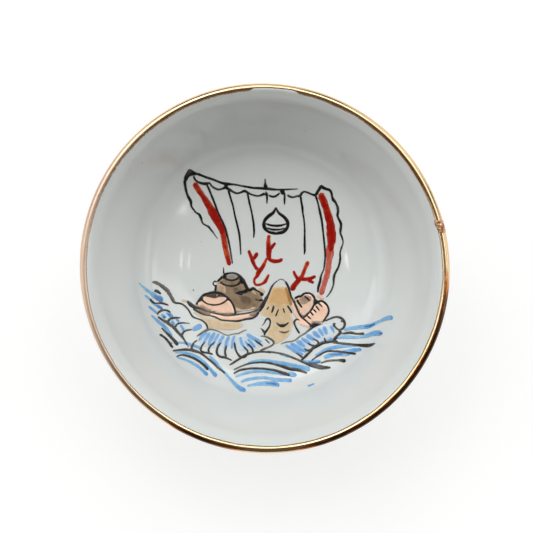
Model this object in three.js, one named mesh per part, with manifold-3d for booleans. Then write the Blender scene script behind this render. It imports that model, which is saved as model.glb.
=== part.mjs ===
// A small porcelain sake cup: glazed inside and out, gilded on the lip, with a treasure ship
// in overglaze enamels on the floor of the bowl. Millimetres, +Z up, the foot stands on z = 0
// and the axis of the cup is the Z axis. The top of the picture points along +Y.
import * as THREE from 'three';
import { mergeVertices } from 'three/addons/utils/BufferGeometryUtils.js';
import Module from 'manifold-3d';

const wasm = await Module();
wasm.setup();

// Driving dimensions of the bowl
const mouthRadius = 30;
const cupHeight = 27;
const wallThickness = 1.4;
const glazeThickness = 0.3;
const floorHeight = 7.5;
const floorSlope = 9;
const wallSlope = 67;
const flareSlope = 42;
const flareLength = 1.8;
const cornerRadius = 5;
const shoulderRadius = 6;
const bellyRadius = 7;
const undersideSlope = 16;

// Driving dimensions of the foot ring
const footTopRadius = 12.9;
const footBottomRadius = 12.3;
const footRingWidth = 1.6;
const footInnerLean = 0.3;
const footHeight = 5.6;
const coveRadius = 1;
const footEdgeRadius = 0.4;
const wellHeight = 4.6;
const wellCornerRadius = 0.8;
const bareFootHeight = 0.9;

// Gilding and enamel
const goldThickness = 0.05;
const goldOuterReach = 1.1;
const goldJoinAngle = 14.9;
const goldJoinLength = 2.2;
const goldJoinWidth = 1.2;
const goldJoinHeight = 0.1;
const enamelGap = 0.02;
const washThickness = 0.06;
const lineThickness = 0.08;

// The painting is drawn on a grid. The edge of the bowl's floor lies this many of its units from
// the middle, which makes a unit 1 mm on this bowl.
const gridUnitsToFloorEdge = 20.58;

// Fineness of the solids
const aroundSegments = 48;
const strokeStep = 2.6;
const washStep = 1.8;
const joinSteps = 12;
const samePoint = 1e-3;

const radians = THREE.MathUtils.degToRad;
const finishes = {
  biscuit: { color: 0xe6e0d4, roughness: 0.8, metalness: 0 },
  glaze: { color: 0xf0f1ee, roughness: 0.08, metalness: 0 },
  gold: { color: 0xd8a54c, roughness: 0.18, metalness: 1 },
  bronze: { color: 0x8a5a36, roughness: 0.4, metalness: 1 },
  black: { color: 0x1c1b1a, roughness: 0.35, metalness: 0 },
  red: { color: 0x97230f, roughness: 0.35, metalness: 0 },
  blue: { color: 0x74a6d0, roughness: 0.25, metalness: 0 },
  tan: { color: 0xcdb189, roughness: 0.35, metalness: 0 },
  shellGold: { color: 0xdfc0a5, roughness: 0.45, metalness: 0.5 },
  umber: { color: 0x6d5a45, roughness: 0.4, metalness: 0 },
};

const cup = new THREE.Group();

function place(name, geometry, finish) {
  const mesh = new THREE.Mesh(geometry, new THREE.MeshStandardMaterial(finishes[finish]));
  mesh.name = name;
  cup.add(mesh);
}

// The bowl's section: straight lines that meet in rounded corners

function along(angle) {
  return new THREE.Vector2(Math.cos(radians(angle)), Math.sin(radians(angle)));
}

function meet(p, u, q, v) {
  const share = q.clone().sub(p).cross(v) / u.cross(v);
  return p.clone().addScaledVector(u, share);
}

const lipRadius = wallThickness / 2;
const lipCentre = new THREE.Vector2(mouthRadius - lipRadius, cupHeight - lipRadius);
const flareDirection = along(flareSlope);
const flareNormal = along(flareSlope + 90);
const wallDirection = along(wallSlope);
const wallNormal = along(wallSlope + 90);
const innerFlare = lipCentre.clone().addScaledVector(flareNormal, lipRadius);
const outerFlare = lipCentre.clone().addScaledVector(flareNormal, -lipRadius);
const innerShoulder = innerFlare.clone().addScaledVector(flareDirection, -flareLength);
const outerWall = innerShoulder.clone().addScaledVector(wallNormal, -wallThickness);
const outerShoulder = meet(outerFlare, flareDirection, outerWall, wallDirection);

// The floor is a shallow dish. It starts level on the axis, and where it has risen to the slope
// of its edge it runs straight into the fillet of the corner.
const floorMiddle = new THREE.Vector2(0, floorHeight);
const acrossFillet = wallNormal.clone().sub(along(floorSlope + 90)).multiplyScalar(cornerRadius);
const besideWall = innerShoulder.clone().add(acrossFillet);
const dishEnd = meet(floorMiddle, along(floorSlope / 2), besideWall, wallDirection);
const dishRadius = dishEnd.x / Math.sin(radians(floorSlope));
const dishReach = dishRadius * Math.tan(radians(floorSlope / 2));
const dishEdge = new THREE.Vector2(dishReach, floorHeight);
const innerCorner = meet(dishEdge, along(floorSlope), innerShoulder, wallDirection);
const footTop = new THREE.Vector2(footTopRadius, footHeight);
const bellyCorner = meet(footTop, along(undersideSlope), outerWall, wallDirection);
const footInnerRadius = footBottomRadius - footRingWidth;

const innerLip = innerFlare.clone().addScaledVector(flareDirection, lipRadius);
const outerLip = outerFlare.clone().addScaledVector(flareDirection, lipRadius);
const footOutside = new THREE.Vector2(footBottomRadius, 0);
const footInside = new THREE.Vector2(footInnerRadius, 0);
const wellCorner = new THREE.Vector2(footInnerRadius - footInnerLean, wellHeight);

const corners = [
  { name: 'floorMiddle', at: floorMiddle },
  { name: 'dishEdge', at: dishEdge, radius: dishRadius, steps: 3 },
  { name: 'innerCorner', at: innerCorner, radius: cornerRadius, steps: 3 },
  { name: 'innerShoulder', at: innerShoulder, radius: shoulderRadius, steps: 1 },
  { name: 'innerLip', at: innerLip, radius: lipRadius, steps: 3 },
  { name: 'outerLip', at: outerLip, radius: lipRadius, steps: 3 },
  { name: 'outerShoulder', at: outerShoulder, radius: shoulderRadius - wallThickness, steps: 1 },
  { name: 'belly', at: bellyCorner, radius: bellyRadius, steps: 4 },
  { name: 'footTop', at: footTop, radius: coveRadius, steps: 2 },
  { name: 'footOutside', at: footOutside, radius: footEdgeRadius, steps: 1 },
  { name: 'footInside', at: footInside, radius: footEdgeRadius, steps: 1 },
  { name: 'wellCorner', at: wellCorner, radius: wellCornerRadius, steps: 1 },
  { name: 'wellMiddle', at: new THREE.Vector2(0, wellHeight) },
];

function placeOf(name) {
  return corners.findIndex((corner) => corner.name === name);
}

// Lifts the section off itself by `lift`, or sinks it where `lift` is negative. The standing face
// of the foot is bare, so it stays where it is. Each corner gives one run of points.
function section(lift) {
  const lines = corners.slice(0, -1).map(({ name, at }, i) => {
    const direction = corners[i + 1].at.clone().sub(at).normalize();
    const rise = name === 'footOutside' ? 0 : lift;
    const normal = new THREE.Vector2(-direction.y, direction.x);
    return { start: at.clone().addScaledVector(normal, rise), direction, rise };
  });
  return corners.map(({ at, radius, steps }, i) => {
    if (i === 0) return [lines[0].start];
    if (i === corners.length - 1) return [new THREE.Vector2(0, lines[i - 1].start.y)];
    const before = lines[i - 1];
    const after = lines[i];
    const corner = meet(before.start, before.direction, after.start, after.direction);
    const turn = before.direction.angleTo(after.direction);
    const leftTurn = before.direction.cross(after.direction) > 0;
    const rise = (before.rise + after.rise) / 2;
    const bend = leftTurn ? radius - rise : radius + rise;
    const first = corner.clone().addScaledVector(before.direction, -bend * Math.tan(turn / 2));
    const side = leftTurn ? 1 : -1;
    const inward = new THREE.Vector2(-before.direction.y, before.direction.x).multiplyScalar(side);
    const centre = first.clone().addScaledVector(inward, bend);
    return Array.from({ length: steps + 1 }, (_, k) => {
      return first.clone().rotateAround(centre, (side * turn * k) / steps);
    });
  });
}

// The part of the section from one named corner to another. Where one corner's arc ends in the
// next one's start the two share a point, and a point at the axis lies exactly on it.
function run(lift, from, to) {
  const points = section(lift).slice(placeOf(from), placeOf(to) + 1).flat();
  const apart = points.filter((p, i) => i === 0 || p.distanceTo(points[i - 1]) > samePoint);
  return apart.map((p) => new THREE.Vector2(p.x < samePoint ? 0 : p.x, p.y));
}

// The point at which the straight side that starts at a named corner passes a height
function sideAt(lift, from, height) {
  const runs = section(lift);
  const start = runs[placeOf(from)].at(-1);
  const end = runs[placeOf(from) + 1][0];
  const share = (height - start.y) / (end.y - start.y);
  return start.clone().lerp(end, share);
}

function turned(points) {
  const geometry = new THREE.LatheGeometry(points, aroundSegments);
  geometry.rotateX(Math.PI / 2);
  return geometry;
}

const bodySink = -glazeThickness;

// The porcelain body: bowl and foot ring in one piece

place('porcelain_body', turned(run(bodySink, 'floorMiddle', 'wellMiddle').reverse()), 'biscuit');

// The glaze over the inside, the lip and the outside, ended above the standing face

const glazeEndOut = sideAt(0, 'footTop', bareFootHeight);
const glazeEndIn = sideAt(bodySink, 'footTop', bareFootHeight);
const coatOutside = run(0, 'floorMiddle', 'footTop');
const coatInside = run(bodySink, 'floorMiddle', 'footTop');
const coatSection = [...coatInside, glazeEndIn, glazeEndOut, ...coatOutside.reverse()];
place('glaze_coat', turned(coatSection), 'glaze');

// The patch of glaze in the well inside the foot ring

const wellEndOut = sideAt(0, 'footInside', bareFootHeight);
const wellEndIn = sideAt(bodySink, 'footInside', bareFootHeight);
const wellOutside = run(0, 'wellCorner', 'wellMiddle');
const wellInside = run(bodySink, 'wellCorner', 'wellMiddle');
const wellSection = [wellEndIn, ...wellInside, ...wellOutside.reverse(), wellEndOut, wellEndIn];
place('foot_well_glaze', turned(wellSection), 'glaze');

// Booleans: a geometry becomes a solid once its shared vertices are merged

function solid(geometry) {
  const bare = geometry.clone();
  bare.deleteAttribute('normal');
  bare.deleteAttribute('uv');
  const merged = mergeVertices(bare, 1e-4);
  const vertProperties = new Float32Array(merged.attributes.position.array);
  const triVerts = new Uint32Array(merged.index.array);
  return new wasm.Manifold(new wasm.Mesh({ numProp: 3, vertProperties, triVerts }));
}

function shaped(manifold) {
  const mesh = manifold.getMesh();
  const geometry = new THREE.BufferGeometry();
  geometry.setAttribute('position', new THREE.BufferAttribute(mesh.vertProperties, 3));
  geometry.setIndex(new THREE.BufferAttribute(mesh.triVerts, 1));
  geometry.computeVertexNormals();
  return geometry;
}

// The first part of a chain of points, ended at a length
function firstPart(points, length) {
  const kept = [points[0]];
  let rest = length;
  for (let i = 1; i < points.length && rest > 0; i += 1) {
    const step = points[i].distanceTo(points[i - 1]);
    kept.push(points[i - 1].clone().lerp(points[i], Math.min(1, rest / step)));
    rest -= step;
  }
  return kept;
}

// The gilding: a thin band from the inside of the lip, over it, to a little way down the outside.
// It follows the section all the way, so it stays on the glaze where the flare bends into the wall.

function lipBand(lift) {
  const overLip = run(lift, 'innerLip', 'outerLip');
  const below = [overLip.at(-1), ...run(lift, 'outerShoulder', 'belly')];
  return [...overLip, ...firstPart(below, goldOuterReach).slice(1)];
}

const gildingSection = [...lipBand(0), ...lipBand(goldThickness).reverse(), lipBand(0)[0]];
place('lip_gilding', turned(gildingSection), 'gold');

function prism(outline, base = 0) {
  const shape = new THREE.Shape(outline);
  const geometry = new THREE.ExtrudeGeometry(shape, { depth: cupHeight * 2, bevelEnabled: false });
  return solid(geometry.translate(0, 0, base));
}

// The lump where the gilder's brush started and stopped, on top of the band

const joinCentre = along(goldJoinAngle).multiplyScalar(lipCentre.x);
const joinOval = new THREE.EllipseCurve(0, 0, goldJoinWidth / 2, goldJoinLength / 2);
const joinOutline = joinOval.getPoints(joinSteps).slice(1).map((p) => {
  return p.rotateAround(new THREE.Vector2(), radians(goldJoinAngle)).add(joinCentre);
});
const joinBase = goldThickness + enamelGap;
const joinTop = joinBase + goldJoinHeight;
const joinSection = [...lipBand(joinBase), ...lipBand(joinTop).reverse(), lipBand(joinBase)[0]];
const joinLayer = solid(turned(joinSection));
place('gilding_join', shaped(prism(joinOutline, lipCentre.y).intersect(joinLayer)), 'bronze');

// The enamels: brush strokes and washes, seen from above, laid on the floor and lower wall.
// Washes and colours lie on the glaze, and the black line work lies over them.

const washTop = enamelGap + washThickness;
const lineBase = washTop + enamelGap;

function floorLayer(low, high) {
  const top = run(high, 'floorMiddle', 'innerShoulder');
  const bottom = run(low, 'floorMiddle', 'innerShoulder');
  return solid(turned([...bottom, ...top.reverse()]));
}

const washLayer = floorLayer(enamelGap, washTop);
const lineLayer = floorLayer(lineBase, lineBase + lineThickness);

function pairs(numbers) {
  return Array.from({ length: numbers.length / 2 }, (_, i) => {
    return new THREE.Vector2(numbers[2 * i], numbers[2 * i + 1]);
  });
}

// An outline on the painting's grid, laid over the bowl
const gridUnit = innerCorner.x / gridUnitsToFloorEdge;

function overBowl(outline) {
  return prism(outline.map((p) => new THREE.Vector2(p.x, p.y).multiplyScalar(gridUnit)));
}

// A brush stroke: a width, then the points of its middle line. It swells from its ends.
function stroke([width, ...numbers]) {
  const curve = new THREE.SplineCurve(pairs(numbers));
  const count = Math.max(3, Math.round(curve.getLength() / strokeStep));
  const left = [];
  const right = [];
  for (let k = 0; k <= count; k += 1) {
    const share = k / count;
    const middle = curve.getPointAt(share);
    const tangent = curve.getTangentAt(share);
    const half = (width / 2) * (0.4 + 0.6 * Math.sqrt(Math.sin(Math.PI * share)));
    const across = new THREE.Vector2(-tangent.y, tangent.x).multiplyScalar(half);
    left.push(middle.clone().add(across));
    right.push(middle.clone().sub(across));
  }
  return overBowl([...left, ...right.reverse()]);
}

// A wash: a filled patch inside a closed outline
function wash(numbers) {
  const points = pairs(numbers).map(({ x, y }) => new THREE.Vector3(x, y, 0));
  const curve = new THREE.CatmullRomCurve3(points, true);
  const count = Math.round(curve.getLength() / washStep);
  return overBowl(curve.getSpacedPoints(count).slice(1));
}

function deposit(name, finish, onLayer, prisms) {
  const whole = prisms.reduce((joined, next) => joined.add(next));
  place(name, shaped(whole.intersect(onLayer)), finish);
}

// Line work of the sail: yard, left edge, the swags below the yard, the mast and the seams
deposit('sail_lines', 'black', lineLayer, [
  [
    0.7, -12.4, 16.6, -13.2, 14.4, -12.5, 11.7, -11.9, 9.8, -10.8, 9, -10.3, 7.7, -9.4, 7,
    -8.5, 5.9, -8, 5,
  ],
  [0.5, -12.7, 16.4, -10.6, 15.3, -7, 14.2, -3, 13.55, 1, 13.15, 5.7, 13.25],
  [0.45, -11.6, 15.8, -10.9, 14.5, -9.5, 14.1, -7.5, 13, -6.4, 13.9, -4.5, 12.4, -3.1, 13.2],
  [0.45, -3.3, 13.5, -2.6, 12.4, -1.2, 12.1, 0.1, 12.9, 1.6, 11.9, 2.8, 12.8, 2.7, 13.2],
  [0.45, 3.4, 13.3, 3.8, 12.3, 4.8, 11.8, 6, 12.4, 7, 12.75, 8.2, 12.3, 9, 12.7, 9.6, 13.8],
  [0.5, 0.1, 15, 0.2, 14, 0.4, 12.5, 0.4, 10.7],
  [0.4, -9.6, 14.2, -9, 12.3, -8, 9.9, -6.9, 7.3, -6.2, 5.3, -5.7, 3.3, -5.3, 0.7],
  [0.4, -6, 13.7, -5.5, 10.8, -5, 8.7, -4.5, 6.5, -4, 4, -3.9, 2.2],
  [0.4, -3, 13.2, -2.5, 10.5, -2.1, 8.5, -1.8, 6.5, -1.8, 4.8],
  [0.4, 6.1, 12.4, 6.5, 10, 6.7, 7.5, 6.75, 5, 6.7, 2.1],
  [0.4, 8.5, 13.4, 8.7, 12, 9.2, 10.3, 9.6, 8.5, 9.9, 6.5, 10.1, 4, 10.2, 2],
  [
    0.75, 9.3, 13.8, 10.9, 13.1, 11.6, 11.3, 12.4, 9.8, 12.9, 7.3, 12.9, 5, 13.2, 3.9, 12.6, 1.5,
    11.7, -1.5, 11.5, -2.8, 10.3, -4.9,
  ],
].map(stroke));

// A wish jewel on the sail: an onion-shaped outline with three bands
deposit('wish_jewel', 'black', lineLayer, [
  [
    0.5, 2, 10.4, 1.4, 9.4, 0, 8.3, -0.2, 7, 0.8, 6, 2, 5.8, 3.1, 6, 4.1, 7, 3.9, 8.3, 2.5, 9.4,
    1.9, 10.4,
  ],
  [0.4, 0, 7.6, 1, 7.3, 2, 7.2, 3, 7.3, 4, 7.6],
  [0.4, 0.3, 6.8, 1.2, 6.5, 2, 6.45, 2.8, 6.5, 3.7, 6.8],
].map(stroke));

// The red bands down both sides of the sail
deposit('red_band_left', 'red', washLayer, [
  stroke([
    1.25, -11.4, 14, -10.6, 12.6, -9.6, 11, -8.9, 9.8, -8.2, 8.4, -7.5, 7, -6.9, 5.3, -6.5, 3.5,
    -6.2, 2.2, -5.8, 0.5,
  ]),
]);
deposit('red_band_right', 'red', washLayer, [
  stroke([
    1.45, 9.3, 12.5, 9.9, 11, 10.4, 9.6, 10.8, 8, 11.1, 6.3, 11.2, 4.7, 11.1, 3.3, 11, 2,
    10.8, 0.8, 10.4, -0.6, 10, -2.2, 9.4, -4.4,
  ]),
]);

// The two branched corals
deposit('red_coral_left', 'red', washLayer, [
  [
    0.7, 0.8, 5.5, 0.9, 3.9, 0.7, 2.2, 0.5, 1.3, -0.3, 0.3, -0.9, -0.7, -1.6, -1.7, -1.6, -2.5,
    -0.8, -2.9, 0, -2.5, 0.5, -1.6, 0.8, -1,
  ],
  [0.5, 0.8, 3.1, 1.9, 4.4],
  [0.5, 0.6, 1.5, 1.8, 1.2, 2.6, 1.3, 3.1, 1.7],
  [0.6, -2.7, 3, -2.3, 2.2, -1.9, 1.3, -1.5, 0.3, -0.9, -0.8],
  [0.5, -1.9, 1.6, -1.1, 2.8],
].map(stroke));
deposit('red_coral_right', 'red', washLayer, [
  [0.7, 4.4, -3.7, 4.9, -3, 5.6, -2.2, 6.2, -1.3, 6.8, -0.2, 7.3, 1.1],
  [0.5, 5.6, -2.1, 5.1, -1.2, 4.8, -0.4],
  [0.5, 5.8, -1.8, 7.2, -1.8, 8, -1.6, 8.6, -1.3],
  [0.5, 7.3, -1.8, 8.2, -2.5],
].map(stroke));

// The treasures in the hull: a gold shell, a grey shell, a tan cone of cloth and two gold shells
deposit('gold_shell_left', 'shellGold', washLayer, [
  wash([
    -11.3, -6.1, -10.8, -5, -9.6, -4.3, -8.3, -4.1, -7, -4.5, -6, -5.2, -5.3, -6.2, -5.2, -7.3,
    -8.5, -7.3,
  ]),
]);
deposit('gold_shell_left_lines', 'black', lineLayer, [
  [0.7, -11.4, -6, -10.8, -5, -9.6, -4.4, -8.3, -4.2, -7, -4.6, -6, -5.3, -5.3, -6.2, -5.05, -7],
  [0.35, -10.9, -5.1, -9.3, -5.9, -8, -6.1, -6.8, -5.9, -5.9, -5.2],
].map(stroke));
deposit('grey_shell', 'umber', washLayer, [
  wash([
    -7.9, -3.6, -7.4, -2, -5.9, -0.9, -4.6, -1, -3.7, -1.8, -2.9, -3.2, -1.6, -3.7, -0.3, -4.5,
    -1.2, -5.6, -3.6, -5.3, -5.6, -4.4,
  ]),
]);
deposit('grey_shell_lines', 'black', lineLayer, [
  [
    0.5, -8.1, -3.2, -8, -2.5, -7.4, -1.8, -6.8, -1.1, -5.8, -0.8, -4.6, -0.9, -3.7, -1.6,
    -3.2, -2.6, -1.6, -3.6, -0.8, -4, -0.2, -4.8,
  ],
  [0.4, -7.8, -2.1, -7.2, -2.3, -6, -2.9, -4.6, -2.8, -3.6, -1.8],
].map(stroke));
deposit('tan_cone', 'tan', washLayer, [
  wash([
    1.6, -3.3, 3.8, -3.3, 4.3, -4.7, 4.5, -6.5, 4.6, -9, 4.2, -11, 3, -12.1, 1.8, -12.5,
    0.8, -11.8, 0.3, -10, 0.2, -7.5, 0.4, -5.2,
  ]),
]);
deposit('tan_cone_lines', 'black', lineLayer, [
  [0.4, 2, -2.4, 1.2, -3.2, 0.7, -4.2, 0.4, -5.2, 0.4, -6.4],
  [0.35, 1.3, -3.3, 2.6, -3.35, 3.9, -3.3],
  [0.4, 3.5, -2.2, 4, -3.2, 4.4, -4.5, 4.7, -6],
].map(stroke));
deposit('gold_shell_right_front', 'shellGold', washLayer, [
  wash([5, -5.2, 5.7, -4.5, 6.8, -4.1, 7.8, -4.3, 8.3, -5, 8.3, -5.8, 7.7, -6.8, 6.6, -7.9, 5.6, -7]),
]);
deposit('gold_shell_right_rear', 'shellGold', washLayer, [
  wash([
    8.9, -5.8, 9.5, -5.6, 10.3, -6, 10.65, -6.8, 10.6, -7.7, 10.1, -8.3, 9.2, -8.9, 8, -8.6,
    7.6, -7.9, 8.4, -6.8,
  ]),
]);
deposit('gold_shell_right_lines', 'black', lineLayer, [
  [0.45, 5, -4.9, 5.7, -4.4, 6.8, -4, 7.8, -4.2, 8.5, -5, 8.4, -5.9, 7.8, -6.9, 6.6, -8.2],
  [0.45, 7.9, -5.7, 9.5, -5.4, 10.4, -5.9, 10.8, -6.8, 10.7, -7.7, 10.1, -8.3],
  [0.45, 5, -5.1, 5.1, -6.4, 5.8, -7.6, 6.5, -8.3, 7.4, -9.1],
].map(stroke));

// The ship's hull: a gold rim between two black lines, and a tan wash below it
deposit('gold_rim', 'shellGold', washLayer, [
  stroke([
    0.9, -12.7, -6.1, -11.2, -7, -9.2, -7.8, -7, -8.35, -4.5, -8.35, -2.5, -7.95, -1.2, -7.6,
    -0.4, -6.9,
  ]),
]);
deposit('hull_lines', 'black', lineLayer, [
  [
    0.4, -13.1, -5.5, -12, -6.5, -10.5, -7.1, -8.5, -7.7, -6.5, -7.95, -4.5, -7.85, -2.5, -7.5,
    -1.2, -7.1, -0.5, -6.5,
  ],
  [
    0.45, -13, -5.6, -11.4, -7.2, -9.7, -8.1, -7.7, -8.7, -5.5, -8.85, -3.5, -8.7, -1.8, -8.3,
    -0.6, -7.3, -0.1, -6.2,
  ],
].map(stroke));
deposit('tan_hull', 'tan', washLayer, [
  wash([
    -11.8, -7.7, -10.5, -8.6, -9.3, -9.8, -8, -10.1, -5.8, -10.4, -3.8, -10, -4.1, -9.3,
    -5, -9.1, -8, -8.9, -10, -8.3,
  ]),
]);

// The breaking waves round the hull
deposit('wave_crest_left', 'black', lineLayer, [
  [0.7, -18.7, -2.2, -17.5, -2.6, -16.5, -3.6, -15.7, -4.8, -14.9, -5.8],
  [
    0.45, -15.2, -5.7, -13.9, -6.2, -12.9, -7.1, -12.1, -8.1, -11.2, -8.6, -10.2, -9.1, -9.4, -9.9,
    -9, -10.5,
  ],
  [0.45, -9.2, -10.4, -8, -10.5, -6.8, -11.1, -5.5, -11.2, -4.3, -11, -2.6, -10.4],
  [0.35, -8, -10.5, -8.3, -12.4, -9.2, -13.2, -9.5, -14],
  [0.35, -6.8, -11, -7.2, -12.5, -8, -14.2, -7.4, -14.9, -6.6, -15.1],
  [0.35, -5.5, -11.1, -6.2, -12.8, -6.5, -14.5, -5.4, -15.4],
  [0.35, -4.3, -10.9, -5, -12.4, -4.9, -13.5, -4.4, -14.5, -3.6, -14.6, -2.8, -14],
  [0.35, -2.9, -10.5, -2.6, -12, -2, -13.4, -0.6, -13.8],
].map(stroke));
deposit('wave_curl_left', 'black', lineLayer, [
  [0.4, -18, -7.9, -17.2, -7, -16.3, -6.9, -15.7, -7.4],
  [
    0.45, -18, -7.7, -17, -8.8, -16, -9.2, -15.2, -9.8, -14.7, -10.5, -14.1, -11.2, -13.5, -12,
    -13, -12.8,
  ],
  [0.35, -16.1, -9.2, -15.5, -8.6, -14.2, -8.5],
  [0.35, -14.9, -10.3, -14.5, -9.6, -13, -9.2],
  [0.35, -13.9, -11.4, -13.3, -10.7, -12, -10.6],
].map(stroke));
deposit('wave_crest_right', 'black', lineLayer, [
  [
    0.5, 2.6, -12.9, 4.5, -12.3, 6, -11.3, 7.5, -10.4, 8.6, -9.7, 10.3, -8.9, 11.5, -8.3,
    12.6, -8.3, 13.3, -8.9, 13.2, -9.7, 12.4, -10.1, 11.7, -9.7,
  ],
  [0.4, 6.2, -15, 7.4, -14, 8, -13.2, 9.2, -12.4, 11.3, -11.8, 12.1, -10.9, 12.6, -9],
].map(stroke));

const blackWaves = [
  [0.45, 12.9, -10.8, 14, -10.7, 15.5, -10.9, 16.9, -10.8],
  [0.45, 10.2, -12.8, 12, -12.4, 14, -12.6, 16, -12.8, 17.5, -12.6],
  [0.45, 8.6, -14.6, 10.5, -13.9, 12.5, -13.9, 15.2, -14.2],
  [0.45, 8.7, -15.9, 10, -15.5, 11.8, -15.3, 13.4, -15.4],
  [0.45, 0, -14, 2.5, -14.3, 5, -15, 7.5, -15.9, 9.3, -16.5, 11, -16.4],
  [0.45, -5, -16.8, -3, -16, -1, -15.7, 1, -15.9, 3, -16.2, 5, -16.8, 6.8, -17.1],
  [0.45, -5.1, -17.8, -3.8, -17.3, -2, -16.9, 0, -16.8, 2, -17.1, 4, -17.6],
  [0.5, -15.4, -13.9, -13.5, -13.6, -12, -13.8, -10.5, -14.5, -8.8, -15.9, -7, -17.5],
  [0.45, -14.8, -14.9, -13.8, -14.6, -12, -15.1, -10.5, -16, -9.4, -17.1],
  [0.5, -17.4, -10, -16, -11.4, -14.6, -12.9],
  [0.5, -17.8, -11.2, -16.6, -12.2, -15.5, -13.3],
  [0.55, -18.6, -3.8, -17.9, -3.8, -17.3, -4.4],
];
blackWaves.forEach((line, i) => {
  deposit(`black_wave_${i + 1}`, 'black', lineLayer, [stroke(line)]);
});

const blueWaves = [
  [0.65, 13, -10.3, 15, -9.9, 17.5, -9.6, 19, -8.9, 20.3, -8.3, 21.3, -7.9],
  [0.7, 11.8, -11.7, 13.5, -11.4, 15.5, -11.6, 17, -11.2, 19.2, -10.6],
  [0.6, 9.6, -13.8, 11, -13.2, 13, -13.1, 15, -13.4],
  [0.6, 9.9, -14.9, 11.5, -14.5, 13.5, -14.3, 16, -13.9],
  [0.75, 0, -15, 3, -15.6, 5.5, -16.3, 7.7, -16.9],
  [0.65, -4.9, -18.3, -3, -17.6, -1, -17.3, 1, -17.5, 3, -17.7, 5.5, -17.9],
  [0.65, -3.9, -19.1, -2, -18.6, 0, -18.4, 2.5, -18.7, 4.6, -18.7],
  [0.65, -2.6, -19.7, -1, -19.4, 1, -19.4, 2.5, -19.6],
  [0.65, -9.3, -14.6, -8, -15.9, -6.9, -17.3, -5.5, -18.8, -4.5, -19.8, -3.3, -20.4],
  [0.6, -15, -14.2, -13, -14.3, -11.2, -15, -9.8, -16.2, -8, -18.2],
  [0.6, -14.7, -15.2, -13, -15.6, -11, -16.7, -9.5, -18],
  [0.8, -21.3, -2.1, -20, -3.4, -18.5, -4.7, -17.2, -5.3],
  [0.7, -20, -4.5, -18.7, -5.8, -16.9, -6.9],
  [0.6, -19.5, -6, -18.7, -6.8, -17.9, -7.5],
  [0.65, -19, -7.9, -17.5, -8.9, -16.3, -10.3, -15.5, -11.4],
];
blueWaves.forEach((line, i) => {
  deposit(`blue_wave_${i + 1}`, 'blue', washLayer, [stroke(line)]);
});

export default cup;
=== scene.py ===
# %% [markdown]
# # A gilded porcelain sake cup, from straight above
#
# A small sake cup is one thin porcelain bowl on a foot ring. It is glazed inside and out, the lip
# carries a brushed band of gold, and a treasure ship is painted on the floor in overglaze enamels.
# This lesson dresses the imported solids: first the section of the bowl, then the surfaces that are
# turned from it, then the brush strokes, and last the light and the camera.

# %% Load the frame and the tools
import bpy
import math
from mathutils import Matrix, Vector, noise
from mathutils.geometry import delaunay_2d_cdt


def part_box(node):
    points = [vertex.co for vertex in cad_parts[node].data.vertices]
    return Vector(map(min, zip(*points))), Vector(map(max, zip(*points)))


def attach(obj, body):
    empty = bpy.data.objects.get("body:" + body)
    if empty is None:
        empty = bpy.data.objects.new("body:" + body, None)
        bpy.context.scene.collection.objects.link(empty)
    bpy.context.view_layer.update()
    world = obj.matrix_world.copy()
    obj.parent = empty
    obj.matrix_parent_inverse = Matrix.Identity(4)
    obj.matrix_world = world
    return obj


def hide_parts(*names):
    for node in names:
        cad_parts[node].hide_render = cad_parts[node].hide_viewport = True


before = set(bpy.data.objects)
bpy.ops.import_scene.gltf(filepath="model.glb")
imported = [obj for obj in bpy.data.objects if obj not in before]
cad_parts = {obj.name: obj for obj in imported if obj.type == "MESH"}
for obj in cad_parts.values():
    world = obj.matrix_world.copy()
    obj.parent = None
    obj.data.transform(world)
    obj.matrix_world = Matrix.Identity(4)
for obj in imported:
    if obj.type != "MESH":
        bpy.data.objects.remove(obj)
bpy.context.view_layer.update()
MM = 0.001
# Without a seed, noise_vector would start from the clock, and no two runs would be the same.
noise.seed_set(1)
print("frame:", len(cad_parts), "nodes")

# %% [markdown]
# ## The section of the bowl
#
# A potter reads a cup by its section, the line that a cut through the axis would show. It could be
# read off a mesh, or drawn as one free curve. Here it is a chain of straight lines that meet in
# rounded corners, because each line is then something a potter would name: floor, wall, flare,
# lip, belly, foot. The mouth's radius and the height come from the frame, and the rest are the
# cup's own sizes in millimetres and its slopes in degrees.

# %% Sizes of the section
_, glaze_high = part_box("glaze_coat")
MOUTH_RADIUS = round(glaze_high[0] / MM, 3)
CUP_HEIGHT = round(glaze_high[2] / MM, 3)
WALL = 1.4
GLAZE = 0.3
FLOOR_HEIGHT = 7.5
FLOOR_SLOPE, WALL_SLOPE, FLARE_SLOPE, UNDERSIDE_SLOPE = 9, 67, 42, 16
FLARE_LENGTH = 1.8
CORNER_RADIUS, SHOULDER_RADIUS, BELLY_RADIUS = 5, 6, 7
FOOT_TOP, FOOT_BOTTOM, FOOT_HEIGHT = 12.9, 12.3, 5.6
FOOT_RING, FOOT_LEAN = 1.6, 0.3
COVE, FOOT_EDGE = 1, 0.4
WELL_HEIGHT, WELL_CORNER = 4.6, 0.8
BARE_FOOT = 0.9
print("mouth radius", MOUTH_RADIUS, "height", CUP_HEIGHT)

# %% Directions, and where two lines meet


def along(angle):
    return Vector((math.cos(math.radians(angle)), math.sin(math.radians(angle))))


def left_of(direction):
    return Vector((-direction.y, direction.x))


def cross(u, v):
    return u.x * v.y - u.y * v.x


def meet(p, u, q, v):
    return p + u * (cross(q - p, v) / cross(u, v))


print("a level and an upright line meet at", *meet(Vector((0, 0)), along(0), Vector((2, 1)), along(90)))

# %% Corners of the section
LIP = WALL / 2
lip_centre = Vector((MOUTH_RADIUS - LIP, CUP_HEIGHT - LIP))
flare, wall = along(FLARE_SLOPE), along(WALL_SLOPE)
inner_flare = lip_centre + left_of(flare) * LIP
outer_flare = lip_centre - left_of(flare) * LIP
inner_shoulder = inner_flare - flare * FLARE_LENGTH
outer_wall = inner_shoulder - left_of(wall) * WALL

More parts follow.
